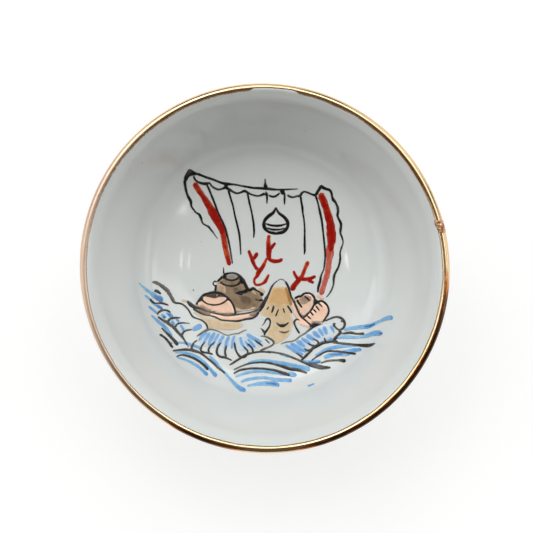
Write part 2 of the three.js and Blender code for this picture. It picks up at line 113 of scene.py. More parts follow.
# The corner's rounding ends where the dish of the floor ends, at the floor's full slope.
floor_middle = Vector((0, FLOOR_HEIGHT))
to_centre = (left_of(wall) - along(FLOOR_SLOPE + 90)) * CORNER_RADIUS
dish_end = meet(floor_middle, along(FLOOR_SLOPE / 2), inner_shoulder + to_centre, wall)
dish_radius = dish_end.x / math.sin(math.radians(FLOOR_SLOPE))
dish_edge = Vector((dish_radius * math.tan(math.radians(FLOOR_SLOPE / 2)), FLOOR_HEIGHT))

foot_top = Vector((FOOT_TOP, FOOT_HEIGHT))
foot_inner = FOOT_BOTTOM - FOOT_RING
CORNERS = [
    ("centre", floor_middle, 0, 1),
    ("dish", dish_edge, dish_radius, 60),
    ("corner", meet(dish_edge, along(FLOOR_SLOPE), inner_shoulder, wall), CORNER_RADIUS, 24),
    ("shoulder", inner_shoulder, SHOULDER_RADIUS, 8),
    ("lip in", inner_flare + flare * LIP, LIP, 12),
    ("lip out", outer_flare + flare * LIP, LIP, 12),
    ("outer shoulder", meet(outer_flare, flare, outer_wall, wall), SHOULDER_RADIUS - WALL, 8),
    ("belly", meet(foot_top, along(UNDERSIDE_SLOPE), outer_wall, wall), BELLY_RADIUS, 24),
    ("foot top", foot_top, COVE, 8),
    ("foot outer", Vector((FOOT_BOTTOM, 0)), FOOT_EDGE, 6),
    ("foot inner", Vector((foot_inner, 0)), FOOT_EDGE, 6),
    ("well", Vector((foot_inner - FOOT_LEAN, WELL_HEIGHT)), WELL_CORNER, 8),
    ("well centre", Vector((0, WELL_HEIGHT)), 0, 1),
]
NAMES = [name for name, *_ in CORNERS]
STANDING = NAMES.index("foot outer")
print("corners:", ", ".join(NAMES))

# %% The section raised off itself
SAME_POINT = 0.02


def section(lift):
    """Runs of points, one for each corner, of the section raised by lift off itself."""
    lines = []
    for i in range(len(CORNERS) - 1):
        start = CORNERS[i][1]
        direction = (CORNERS[i + 1][1] - start).normalized()
        rise = 0 if i == STANDING else lift
        lines.append((start + left_of(direction) * rise, direction, rise))
    runs = [[lines[0][0]]]
    for i in range(1, len(CORNERS) - 1):
        _, _, radius, steps = CORNERS[i]
        (p, u, rise_in), (q, v, rise_out) = lines[i - 1], lines[i]
        turn = math.acos(max(-1, min(1, u.dot(v))))
        side = 1 if cross(u, v) > 0 else -1
        bend = radius - side * (rise_in + rise_out) / 2
        first = meet(p, u, q, v) - u * bend * math.tan(turn / 2)
        centre = first + left_of(u) * side * bend
        run = []
        for k in range(steps + 1):
            angle = side * turn * k / steps
            arm = first - centre
            run.append(centre + Vector((
                arm.x * math.cos(angle) - arm.y * math.sin(angle),
                arm.x * math.sin(angle) + arm.y * math.cos(angle),
            )))
        runs.append(run)
    runs.append([Vector((0, lines[-1][0].y))])
    return runs


def stretch(lift, first, last):
    """The points between two corners. Where two runs meet in one point, it is kept once."""
    points = []
    for run in section(lift)[NAMES.index(first):NAMES.index(last) + 1]:
        for p in run:
            if not points or (p - points[-1]).length > SAME_POINT:
                points.append(Vector((max(0, p.x), p.y)))
    return points


print("section points:", len(stretch(0, "centre", "well centre")))

# %% [markdown]
# ## From section to surface
#
# A wheel turns the section into the cup. Blender's Screw modifier could do the same, but plain mesh
# code also lets the clay behave as clay: a cup leaves the kiln very slightly oval, and its wall
# keeps soft rings from the turning. Both are far too small to notice alone, and they keep the
# highlights from looking machined.

# %% Turn a section into a mesh
OVAL = 0.007
OVAL_ANGLE = math.radians(-45)
# Rings are set by how many there are to a millimetre. Each kind reads its own slice of noise.
RING_DEPTH, FINE_RING_SHARE = 0.012, 0.12
SLOW_RINGS, FINE_RINGS = 0.35, 1.6
SLOW_SLICE, FINE_SLICE = 4.2, 9.1
SMOOTH_LIP, RINGS_COME_IN = 1, 3
SIDES = 256
ON_AXIS = 1e-6


def fired(x, y, z):
    """A point in millimetres, moved as the firing moved it, in metres."""
    angle = math.atan2(y, x)
    swell = 1 + OVAL * math.cos(2 * (angle - OVAL_ANGLE))
    return (x * swell * MM, y * swell * MM, z * MM)


def turning_rings(radius, height):
    """How far the turning tool left the surface off the true section, in millimetres."""
    slow = noise.noise(Vector((radius * SLOW_RINGS, height * SLOW_RINGS, SLOW_SLICE)))
    fine = noise.noise(Vector((radius * FINE_RINGS, height * FINE_RINGS, FINE_SLICE)))
    below_lip = min(1, max(0, (CUP_HEIGHT - SMOOTH_LIP - height) / RINGS_COME_IN))
    return RING_DEPTH * (slow + FINE_RING_SHARE * fine) * below_lip


def raise_mesh(name, points, faces):
    mesh = bpy.data.meshes.new(name)
    mesh.from_pydata([fired(*p) for p in points], [], faces)
    mesh.validate()
    mesh.polygons.foreach_set("use_smooth", [True] * len(mesh.polygons))
    piece = bpy.data.objects.new(name, mesh)
    bpy.context.scene.collection.objects.link(piece)
    return piece


def turn(name, profile, rings=False):
    """A closed surface of revolution. Points on the axis become one vertex each."""
    points, rows = [], []
    for r, z in profile:
        if r < ON_AXIS:
            rows.append([len(points)])
            points.append((0, 0, z))
            continue
        off = turning_rings(r, z) if rings else 0
        rows.append(list(range(len(points), len(points) + SIDES)))
        for k in range(SIDES):
            angle = 2 * math.pi * k / SIDES
            points.append((r * math.cos(angle), r * math.sin(angle), z + off))
    faces = []
    for low, high in zip(rows, rows[1:]):
        for k in range(SIDES):
            a, b = low[k % len(low)], low[(k + 1) % len(low)]
            c, d = high[(k + 1) % len(high)], high[k % len(high)]
            corners = list(dict.fromkeys((a, b, c, d)))
            if len(corners) > 2:
                faces.append(corners)
    return raise_mesh(name, points, faces)


print("the firing moves the right of the lip to", round(fired(MOUTH_RADIUS, 0, 0)[0] / MM, 2), "mm")

# %% Body, glaze and foot well


def bare_edge(lift, upper, lower):
    """The point of the straight foot side between two corners where the glaze was wiped off."""
    runs = section(lift)
    a, b = runs[NAMES.index(upper)][-1], runs[NAMES.index(lower)][0]
    return a.lerp(b, (BARE_FOOT - a.y) / (b.y - a.y))


def coat_side(lift):
    return stretch(lift, "centre", "foot top") + [bare_edge(lift, "foot top", "foot outer")]


def well_side(lift):
    return [bare_edge(lift, "foot inner", "well")] + stretch(lift, "well", "well centre")


body = turn("thrown_body", stretch(-GLAZE, "centre", "well centre"))
coat = turn("glaze_skin", coat_side(0) + coat_side(-GLAZE)[::-1], rings=True)
well = turn("well_glaze_skin", well_side(0) + well_side(-GLAZE)[::-1] + well_side(0)[:1])
print("turned:", body.name, coat.name, well.name)

# %% [markdown]
# ## The gilded lip
#
# Liquid gold is brushed round the rim while the cup turns, then fired. The band is never ruled:
# its edges waver, it thins where the brush ran dry and it doubles where the stroke closes. It could
# be a colour painted on the glaze, but a thin raised band catches the light at its edges as the
# real film does. Its two edges are worked out for each angle round the lip.

# %% Sizes of the band
GOLD, GOLD_EDGE, SUNK = 0.03, 0.004, 0.01
FLAT_TOP = 6
GOLD_INNER_RADIUS = 28.78
GOLD_OUTER_REACH = 1.0
JOIN_ANGLE = math.radians(14.9)
SEARCH_STEP, SEARCH_STEPS = 0.01, 400
rim_path = stretch(0, "shoulder", "belly")
rim_lengths = [0.0]
for a, b in zip(rim_path, rim_path[1:]):
    rim_lengths.append(rim_lengths[-1] + (b - a).length)


def rim_point(distance, lift):
    """The point at a distance along the lip's section, lifted off it."""
    i = 0
    while distance > rim_lengths[i + 1] and i < len(rim_path) - 2:
        i += 1
    a, b = rim_path[i], rim_path[i + 1]
    share = (distance - rim_lengths[i]) / (rim_lengths[i + 1] - rim_lengths[i])
    return a.lerp(b, share) + left_of((b - a).normalized()) * lift


def rim_distance(radius):
    """How far along the lip's section its inner side passes a radius."""
    steps = [SEARCH_STEP * k for k in range(SEARCH_STEPS)]
    return min(steps, key=lambda s: abs(rim_point(s, 0).x - radius))


LIP_END = rim_lengths[len(stretch(0, "shoulder", "lip out")) - 1]
GOLD_START = rim_distance(GOLD_INNER_RADIUS)
GOLD_END = LIP_END + GOLD_OUTER_REACH
print("the gold covers", round(GOLD_END - GOLD_START, 2), "mm of the lip's section")

# %% Its wandering edges
# Amounts are in millimetres. A place is its middle and its reach to either side, in degrees.
WAVES_ROUND, FINE_WAVES = 9, 5
WAVER, FINE_WAVER, OUTER_WAVER = 0.09, 0.45, 0.16
HAIRS, HAIR_WAVES, HAIRS_AT = 0.07, 14, (125, 45)
CHIPS, CHIP_WAVES, CHIPS_OVER, CHIPS_AT = 0.4, 9, 0.12, (146, 16)
SKIPPED, SKIPPED_AT = 0.5, (87, 7.4)
NARROWED, NARROWED_AT = 0.24, (208, 32)


def away(angle, middle):
    """How many degrees an angle lies from a middle, the shorter way round."""
    return (math.degrees(angle) - middle + 180) % 360 - 180


def bump_at(angle, middle, reach):
    """1 at the middle of a place, falling smoothly off to either side."""
    return math.exp(-((away(angle, middle) / reach) ** 2))


def gap_at(angle, middle, reach):
    """1 all over a place, with a quick step at either end."""
    return 1 / (1 + (away(angle, middle) / reach) ** 16)


def gold_edges(angle):
    ring = Vector((math.cos(angle) * WAVES_ROUND, math.sin(angle) * WAVES_ROUND, 0))
    waver = noise.noise(ring) * WAVER + noise.noise(ring * FINE_WAVES) * WAVER * FINE_WAVER
    hairs = HAIRS * noise.noise(ring * HAIR_WAVES) * bump_at(angle, *HAIRS_AT)
    chips = CHIPS * max(0, noise.noise(ring * CHIP_WAVES) - CHIPS_OVER) * bump_at(angle, *CHIPS_AT)
    narrow = SKIPPED * gap_at(angle, *SKIPPED_AT) + NARROWED * bump_at(angle, *NARROWED_AT)
    start = GOLD_START + waver + hairs + narrow + chips
    end = GOLD_END + noise.noise(ring + Vector((0, 0, 7))) * OUTER_WAVER
    return start, end


print("the band's inner edge at the right:", round(gold_edges(0)[0], 3), "mm along the section")

# %% Its painted dark reflections
# A painted dark place, where the gold stands for the dark of the room that it mirrors: the radius
# where it begins, the width over which it comes in, its middle and its reach round the lip, and how
# dark it is.
BROWN_INSIDE = [(29.4, 0.14, 118, 66, 0.4), (29.22, 0.12, 36, 26, 0.6)]
DARK_OUTSIDE = (29.3, 0.16, 297, 59, 1.25)
LESS_DARK, LESS_DARK_AT = 0.9, (271, 13)
CREST_LINE = (29.2, 0.11, 322, 40, 0.7)


def painted_reflected_dark(angle, radius):
    """Where the film is painted dark, for the dark of the room that it mirrors: inside the lip at the
    upper left, outside it lower down, and, less so, in a brown line inside the lip at the upper right
    and along its crest at the lower right."""
    inside = 0
    for begins, width, middle, reach, dark in BROWN_INSIDE:
        inside += min(1, max(0, (begins - radius) / width)) * bump_at(angle, middle, reach) * dark
    begins, width, middle, reach, dark = DARK_OUTSIDE
    outside = min(1, max(0, (radius - begins) / width)) * gap_at(angle, middle, reach) * dark
    outside *= 1 - LESS_DARK * bump_at(angle, *LESS_DARK_AT)
    crest, width, middle, reach, dark = CREST_LINE
    line = math.exp(-(((radius - crest) / width) ** 2)) * bump_at(angle, middle, reach) * dark
    return inside + outside + line


print("tarnish outside the lip, low down:", round(painted_reflected_dark(math.radians(300), 29.6), 2))

# %% Build the band
AROUND, ACROSS = 1440, 14


def add_values(piece, name, values):
    layer = piece.data.attributes.new(name, "FLOAT", "POINT")
    layer.data.foreach_set("value", values)


def gild():
    points, faces, across, around, dark = [], [], [], [], []
    ring = ACROSS + 2
    for k in range(AROUND):
        angle = 2 * math.pi * k / AROUND
        start, end = gold_edges(angle)
        for j in range(ring):
            share = min(j, ACROSS) / ACROSS
            if j <= ACROSS:
                lift = GOLD_EDGE + GOLD * (1 - (2 * share - 1) ** FLAT_TOP)
            else:
                share, lift = 0.5, -SUNK
            p = rim_point(start + (end - start) * share, lift)
            points.append((p.x * math.cos(angle), p.x * math.sin(angle), p.y))
            across.append(share)
            around.append(angle * MOUTH_RADIUS)
            dark.append(painted_reflected_dark(angle, p.x))
        here, after = k * ring, ((k + 1) % AROUND) * ring
        for j in range(ring):
            j2 = (j + 1) % ring
            faces.append((here + j, here + j2, after + j2, after + j))
    piece = raise_mesh("brushed_gold_band", points, faces)
    add_values(piece, "across", across)
    add_values(piece, "around", around)
    add_values(piece, "dark", dark)
    return piece


gold_band = gild()
print("gilded:", gold_band.name, len(gold_band.data.vertices), "points")

# %% [markdown]
# ### Where the brush started and stopped
#
# The gilder's stroke ends where it began, at the right of the lip. The second pass went over the
# first, so the gold lies there in a lumpy patch that spills a little into the bowl.

# %% The join of the gold
JOIN_LENGTH, JOIN_SPILL, JOIN_HEIGHT = 2.3, 0.3, 0.1
JOIN_MIDDLE = JOIN_ANGLE - math.radians(1.7)
JOIN_PAST_LIP, JOIN_EDGE, JOIN_SLANT = 0.3, 0.012, 0.2
SIDE_WAVER, END_WAVER = 0.12, 0.16
LUMP_ROWS, LUMP_COLUMNS = 30, 24
# Lumps over the width, lumps along the join, and the slice of noise that they are read from.
LARGE_LUMPS, SMALL_LUMPS = (2.4, 3.4, 3.3), (7, 10, 1.7)
MEAN_LUMP, LUMP_SWING, SMALL_SHARE = 0.6, 0.8, 0.5


def gold_lump():
    points, faces = [], []
    for is_top in (1, 0):
        for i in range(LUMP_ROWS + 1):
            v = 2 * i / LUMP_ROWS - 1
            waver = SIDE_WAVER * noise.noise(Vector((v * 4, 0, 8)))
            spill = JOIN_SPILL * min(1, max(0, 0.6 + v)) - waver
            begin, stop = GOLD_START - spill, LIP_END + JOIN_PAST_LIP
            for j in range(LUMP_COLUMNS + 1):
                u = 2 * j / LUMP_COLUMNS - 1
                large, small = (
                    noise.noise(Vector((u * over, v * along_join, piece_of_noise)))
                    for over, along_join, piece_of_noise in (LARGE_LUMPS, SMALL_LUMPS)
                )
                lumps = MEAN_LUMP + LUMP_SWING * (large + SMALL_SHARE * small)
                dome = (1 - u ** FLAT_TOP) * (1 - v ** FLAT_TOP) * lumps
                lift = JOIN_EDGE + JOIN_HEIGHT * max(0, dome) if is_top else -SUNK
                p = rim_point(max(0.02, begin + (stop - begin) * (u + 1) / 2), lift)
                end_waver = END_WAVER * noise.noise(Vector((u * 3, round(v), 5)))
                off = v * (JOIN_LENGTH / 2 + end_waver) - JOIN_SLANT * u
                angle = JOIN_MIDDLE + off / MOUTH_RADIUS
                points.append((p.x * math.cos(angle), p.x * math.sin(angle), p.y))
    width = LUMP_COLUMNS + 1
    under = (LUMP_ROWS + 1) * width
    for i in range(LUMP_ROWS):
        for j in range(LUMP_COLUMNS):
            a = i * width + j
            b, c, d = a + 1, a + width + 1, a + width
            faces.append((d, c, b, a))
            faces.append((a + under, b + under, c + under, d + under))
    rim = list(range(width))
    rim += [i * width + LUMP_COLUMNS for i in range(1, LUMP_ROWS + 1)]
    rim += [LUMP_ROWS * width + j for j in range(LUMP_COLUMNS - 1, -1, -1)]
    rim += [i * width for i in range(LUMP_ROWS - 1, 0, -1)]
    for a, b in zip(rim, rim[1:] + rim[:1]):
        faces.append((a, b, b + under, a + under))
    return raise_mesh("gold_join_lump", points, faces)


lump = gold_lump()
print("the join is", JOIN_LENGTH, "mm long")

# %% [markdown]
# ## Brush strokes on a curved floor
#
# The painting is enamel: glass powder in oil, drawn with a fine brush and melted onto the glaze. It
# stands a little proud of it. An image would be the quick way, but strokes as thin meshes keep
# their relief, their swelling width and their ragged ends from any distance. First, a function
# finds the place on the bowl above a point of the picture.

# %% Drop a point onto the bowl
SMALLEST_RADIUS = 0.01
bowl_line = stretch(0, "centre", "shoulder")


def on_bowl(x, y, lift):
    """The point above (x, y) on the inside of the bowl, in millimetres, lifted off the glaze."""
    r = math.hypot(x, y)
    for a, b in zip(bowl_line, bowl_line[1:]):
        if a.x <= r <= b.x and b.x > a.x:
            share = (r - a.x) / (b.x - a.x)
            z = a.y + (b.y - a.y) * share
            up = left_of((b - a).normalized())
            shrink = 1 + up.x * lift / max(r, SMALLEST_RADIUS)
            return (x * shrink, y * shrink, z + turning_rings(r, z) + up.y * lift)
    return (x, y, bowl_line[0].y + turning_rings(0, 0) + lift)


print("the floor's middle stands", round(on_bowl(0, 0, 0)[2], 2), "mm up")

# %% [markdown]
# ### One stroke, one wash
#
# A stroke is a run of x, y and width. A curve runs smoothly through the points, and a ribbon
# follows it, domed across. A wash is a filled outline with a soft border. Both keep a number called
# load, which says how much paint lies at a point: little where the brush lands thin or runs dry,
# much where it swells and where it stops. The materials read it to choose their colour.

# %% A smooth line through knots
STROKE_STEP = 0.22


def groups(numbers, size):
    """The numbers as vectors of a size, where pairs get a 0 as their third."""
    return [Vector((numbers[i:i + size] + [0])[:3]) for i in range(0, len(numbers), size)]


def smooth_line(knots, step):
    """Points on a smooth curve through the knots, about a step apart."""
    line = []
    for i in range(len(knots) - 1):
        p0, p1 = knots[max(i - 1, 0)], knots[i]
        p2, p3 = knots[i + 1], knots[min(i + 2, len(knots) - 1)]
        count = max(2, round((p2 - p1).to_2d().length / step))
        for k in range(count):
            t = k / count
            line.append(0.5 * (2 * p1 + (p2 - p0) * t + (2 * p0 - 5 * p1 + 4 * p2 - p3) * t * t
                               + (3 * p1 - p0 - 3 * p2 + p3) * t ** 3))
    line.append(knots[-1])
    return line


print("a line 1 mm long has", len(smooth_line(groups([0, 0, 1, 0], 2), STROKE_STEP)), "points")

# %% Gather the paint of one deposit
UNDERSIDE = 0.003


class Paint:
    """Gathers strokes and washes of one deposit, and turns them into one mesh."""

    def __init__(self, base, height, seed):
        self.base, self.height, self.seed = base, height, seed
        self.points, self.faces = [], []
        self.across, self.along, self.load = [], [], []

    def vertex(self, x, y, lift, across, along_mm, load):
        self.points.append(on_bowl(x, y, lift))
        self.across.append(across)
        self.along.append(along_mm)
        self.load.append(load)
        return len(self.points) - 1

    def piece(self, name, material):
        obj = raise_mesh(name, self.points, self.faces)
        add_values(obj, "across", self.across)
        add_values(obj, "along", self.along)
        add_values(obj, "load", self.load)
        obj.data.materials.append(material)
        return obj


print("paint reaches down to", UNDERSIDE, "mm above the glaze")

# %% One stroke
STROKE_SIDES = (-1, -0.8, -0.42, 0, 0.42, 0.8, 1)
UNDER_SIDES = (0.5, 0, -0.5)
THINNEST_LOAD, SWELL_LOAD, POOL_LOAD, POOL_LENGTH = 0.25, 0.55, 0.2, 0.7
TIP_BLUNTNESS, TIP_START, TIP_HEIGHT = 2.2, 0.12, 0.6
SHAKE, SHAKES_PER_MM, SHAKE_SEED = 0.14, 1.3, 3.7
FRAYS_PER_MM, FRAY_SEED, DRY_FRAY = 4, 5.1, 1.6
DOME_POWER = 4


def stroke(paint, numbers, ragged):
    """A domed ribbon along a run of x, y and width."""
    line = smooth_line(groups(numbers, 3), STROKE_STEP)
    paint.seed += 1
    lengths = [0.0]
    for a, b in zip(line, line[1:]):
        lengths.append(lengths[-1] + (b - a).to_2d().length)
    widest = max(p.z for p in line)
    rows = []
    for i, p in enumerate(line):
        ahead, behind = line[min(i + 1, len(line) - 1)], line[max(i - 1, 0)]
        side = left_of((ahead - behind).to_2d().normalized())
        done, left = lengths[i], lengths[-1] - lengths[i]
        landing, tip = (
            min(1, math.sqrt(gap * TIP_BLUNTNESS / p.z) + TIP_START) for gap in (done, min(done, left)))
        jitter = noise.noise(Vector((done * SHAKES_PER_MM, paint.seed * SHAKE_SEED, 0)))
        half = p.z / 2 * tip * (1 + SHAKE * jitter)
        pool = POOL_LOAD * math.exp(-(left / POOL_LENGTH) ** 2)
        load = landing * (THINNEST_LOAD + SWELL_LOAD * p.z / widest) + pool
        row = []
        for u in STROKE_SIDES:
            fray_place = Vector((done * FRAYS_PER_MM, paint.seed * FRAY_SEED, u * 2))
            frayed = ragged * noise.noise(fray_place) if abs(u) == 1 else 0
            reach = u * half + frayed * min(1, p.z) * (DRY_FRAY - load)
            dome = paint.height * (1 - u ** DOME_POWER) * (TIP_HEIGHT + (1 - TIP_HEIGHT) * tip)
            x, y = p.x + side.x * reach, p.y + side.y * reach
            row.append(paint.vertex(x, y, paint.base + dome, u, done, load))
        for u in UNDER_SIDES:
            x, y = p.x + side.x * u * half, p.y + side.y * u * half
            row.append(paint.vertex(x, y, UNDERSIDE, u, done, load))
        rows.append(row)
    for low, high in zip(rows, rows[1:]):
        for j in range(len(low)):
            j2 = (j + 1) % len(low)
            paint.faces.append((low[j], low[j2], high[j2], high[j]))
    paint.faces.append(tuple(rows[0][::-1]))
    paint.faces.append(tuple(rows[-1]))


print("a stroke has", len(STROKE_SIDES) + len(UNDER_SIDES), "points at each step of", STROKE_STEP, "mm")

# %% One wash
BORDER_SHAKES_PER_MM, GRID_SHAKE = 1.7, 0.3
BORDER_HEIGHT, WASH_LOAD = 0.15, 0.8
KEEP_INSIDE, SAME_PLACE = 1, 1e-5


def wash(paint, numbers, ragged, spacing, rim):
    """A filled patch inside a closed outline of x, y pairs, thinner within a rim along its border."""
    knots = groups(numbers, 2)
    # An outline that runs clockwise is turned round, so that its faces look up.
    if sum(cross(a, b) for a, b in zip(knots, knots[1:] + knots[:1])) < 0:
        knots.reverse()
    paint.seed += 1
    edge = []
    for p in smooth_line(knots + knots[:1], spacing)[:-1]:
        border_place = Vector((p.x * BORDER_SHAKES_PER_MM, p.y * BORDER_SHAKES_PER_MM, paint.seed))
        shake = noise.noise_vector(border_place) * ragged
        edge.append(Vector((p.x + shake.x, p.y + shake.y)))
    low_x, low_y = min(p.x for p in edge), min(p.y for p in edge)
    columns = int((max(p.x for p in edge) - low_x) / spacing) + 1
    rows = int((max(p.y for p in edge) - low_y) / spacing) + 1
    inner = []
    for i in range(columns):
        for j in range(rows):
            x, y = low_x + i * spacing, low_y + j * spacing
            inner.append(Vector((x + spacing * GRID_SHAKE * noise.noise(Vector((x, y, 1))), y)))
    loop = list(range(len(edge)))
    flat, _, cells = delaunay_2d_cdt(edge + inner, [], [loop], KEEP_INSIDE, SAME_PLACE)[:3]
    top, under = [], []
    for p in flat:
        share = min(1, min((p - q).length for q in edge) / rim)
        load = share * share * (3 - 2 * share)
        lift = paint.base + paint.height * (BORDER_HEIGHT + (1 - BORDER_HEIGHT) * load)
        for surface, height in ((top, lift), (under, UNDERSIDE)):
            surface.append(paint.vertex(p.x, p.y, height, 1 - load, p.x + p.y, load * WASH_LOAD))
    border = set()
    for cell in cells:
        paint.faces.append(tuple(top[i] for i in cell))
        paint.faces.append(tuple(under[i] for i in reversed(cell)))
        for a, b in zip(cell, cell[1:] + cell[:1]):
            if (b, a) in border:
                border.remove((b, a))
            else:
                border.add((a, b))
    for a, b in sorted(border):
        paint.faces.append((top[a], under[a], under[b], top[b]))


print("a wash is", BORDER_HEIGHT, "of its full height at its border")

# %% [markdown]
# ## Materials
#
# Every finish here is glass or gold on porcelain, so they share one habit: a smooth, glossy or satin
# surface whose colour varies with how thick it lies. Colours are written as sRGB hex, as a painter
# would pick them, and turned to the linear values that the shader needs. One helper adds a node
# with its settings and its links.

# %% Helpers for materials


def linear(hex_colour):
    """An sRGB hex colour as linear red, green and blue, with a full alpha."""
    parts = [int(hex_colour[i:i + 2], 16) / 255 for i in (1, 3, 5)]
    return [c / 12.92 if c <= 0.04045 else ((c + 0.055) / 1.055) ** 2.4 for c in parts] + [1.0]


def add(tree, kind, values=None, **settings):
    """Adds a node. values maps an input to a value, or to the socket that feeds it."""
    new = tree.nodes.new(kind)
    for key, value in settings.items():
        setattr(new, key, value)
    for key, value in (values or {}).items():
        if isinstance(value, bpy.types.NodeSocket):
            tree.links.new(value, new.inputs[key])
        else:
            new.inputs[key].default_value = value
    return new


def blank(name):
    material = bpy.data.materials.new(name)
    material.use_nodes = True
    material.node_tree.nodes.clear()
    return material, material.node_tree


def finish_surface(tree, shader):
    add(tree, "ShaderNodeOutputMaterial", {"Surface": shader.outputs[0]})


def per_metre(size_mm):
    """The noise scale that makes features of a size in millimetres."""
    return 1000 / size_mm


# %% [markdown]
# ### Bare and glazed porcelain
#
# Porcelain fires to a white, slightly translucent stone. Under its clear glaze it looks cool and
# wet: reflections are sharp on the floor, where the glaze pooled, and softer where it ran thin on
# the wall. The surface has a very faint orange peel and a few pinholes. On the foot, where the cup
# stood in the kiln, the glaze was wiped off, and the biscuit is matt, a little warm, and feels like
# fine sugar.

# %% Glazed porcelain
ORANGE_PEEL_MM, MOTTLE_MM, PINHOLE_MM = 1.6, 9, 5.5
POOLED_UP_TO_MM, THIN_FROM_MM = 9, 13


def glazed_porcelain():
    material, tree = blank("clear_glazed_porcelain")
    place = add(tree, "ShaderNodeTexCoord").outputs["Object"]
    mottle = add(tree, "ShaderNodeTexNoise", {
        "Vector": place, "Scale": per_metre(MOTTLE_MM), "Detail": 3.0,
    })
    colour = add(tree, "ShaderNodeMix", {
        0: mottle.outputs["Fac"], 6: linear("#eaebea"), 7: linear("#e5e8e8"),
    }, data_type="RGBA")
    cells = add(tree, "ShaderNodeTexVoronoi", {"Vector": place, "Scale": per_metre(PINHOLE_MM)})
    pit = add(tree, "ShaderNodeMapRange", {
        "Value": cells.outputs["Distance"], "From Min": 0.012, "From Max": 0.035,
    }, interpolation_type="SMOOTHSTEP")
    stained = add(tree, "ShaderNodeMix", {
        0: pit.outputs["Result"], 6: linear("#b9b6ac"), 7: colour.outputs[2],
    }, data_type="RGBA")
    peel = add(tree, "ShaderNodeTexNoise", {
        "Vector": place, "Scale": per_metre(ORANGE_PEEL_MM), "Detail": 1.0,
    })
    skin = add(tree, "ShaderNodeBump", {
        "Height": peel.outputs["Fac"], "Strength": 0.025, "Distance": 0.00008,
    })
    pitted = add(tree, "ShaderNodeBump", {
        "Height": pit.outputs["Result"], "Strength": 0.4, "Distance": 0.00006,
        "Normal": skin.outputs["Normal"],
    })
    thinner = add(tree, "ShaderNodeMapRange", {
        "Value": add(tree, "ShaderNodeSeparateXYZ", {0: place}).outputs["Z"],
        "From Min": POOLED_UP_TO_MM * MM, "From Max": THIN_FROM_MM * MM, "To Max": 0.09,
    })
    gloss = add(tree, "ShaderNodeMath", {
        0: mottle.outputs["Fac"], 1: 0.1, 2: thinner.outputs["Result"],
    }, operation="MULTIPLY_ADD")
    shader = add(tree, "ShaderNodeBsdfPrincipled", {
        "Base Color": stained.outputs[2], "Roughness": gloss.outputs[0], "IOR": 1.5,
        "Normal": pitted.outputs["Normal"],
    })
    finish_surface(tree, shader)
    return material


print("the glaze pools up to", POOLED_UP_TO_MM, "mm above the table")

# %% Bare porcelain of the foot
GRAIN_MM, TOAST_MM = 0.12, 2.5


def bare_porcelain():
    material, tree = blank("bare_fired_porcelain")
    place = add(tree, "ShaderNodeTexCoord").outputs["Object"]
    toast = add(tree, "ShaderNodeTexNoise", {
        "Vector": place, "Scale": per_metre(TOAST_MM), "Detail": 4.0,
    })
    colour = add(tree, "ShaderNodeMix", {
        0: toast.outputs["Fac"], 6: linear("#ded5c4"), 7: linear("#ece8df"),
    }, data_type="RGBA")
    grain = add(tree, "ShaderNodeTexNoise", {
        "Vector": place, "Scale": per_metre(GRAIN_MM), "Detail": 2.0,
    })
    bump = add(tree, "ShaderNodeBump", {
        "Height": grain.outputs["Fac"], "Strength": 0.5, "Distance": 0.00004,
    })
    shader = add(tree, "ShaderNodeBsdfPrincipled", {
        "Base Color": colour.outputs[2], "Roughness": 0.8, "IOR": 1.5,
        "Normal": bump.outputs["Normal"],
    })
    finish_surface(tree, shader)
    return material


print("the grain of the bare foot is", GRAIN_MM, "mm")

# %% [markdown]
# ### Fired gold
#
# Liquid bright gold is a film of metal a few ten-thousandths of a millimetre thick. It mirrors its
# surroundings, so it looks cream where it meets a lamp and dark brown where it meets the dark of
# the room. That dark brown is also painted into its colour round the lip, as painted dark
# reflection, and towards the left the film is painted pinker, a painted softer sheen. The brush
# leaves hair lines along the rim, and the metal wears thin at its edges. Where the stroke closed on
# itself the gold pooled and fired to a coppery brown.

# %% Bright gold
BRUSH_HAIR_MM, GOLD_CLOUD_MM = 0.16, 2.2
HAIR_RUN, BAND_MM = 0.35, 1.1
PINK_FROM_MM, PINK_TO_MM = 14, 27


def brush_hairs(tree, lengthwise, run, crosswise, hairs_across, detail):
    """Noise drawn out along a stroke, as the hairs of the brush leave it."""
    scaled = [
        add(tree, "ShaderNodeMath", {0: socket, 1: scale}, operation="MULTIPLY").outputs[0]
        for socket, scale in ((lengthwise, run), (crosswise, hairs_across))
    ]
    hair_place = add(tree, "ShaderNodeCombineXYZ", {"X": scaled[0], "Y": scaled[1]})
    return add(tree, "ShaderNodeTexNoise", {
        "Vector": hair_place.outputs[0], "Scale": 1.0, "Detail": detail,
    })


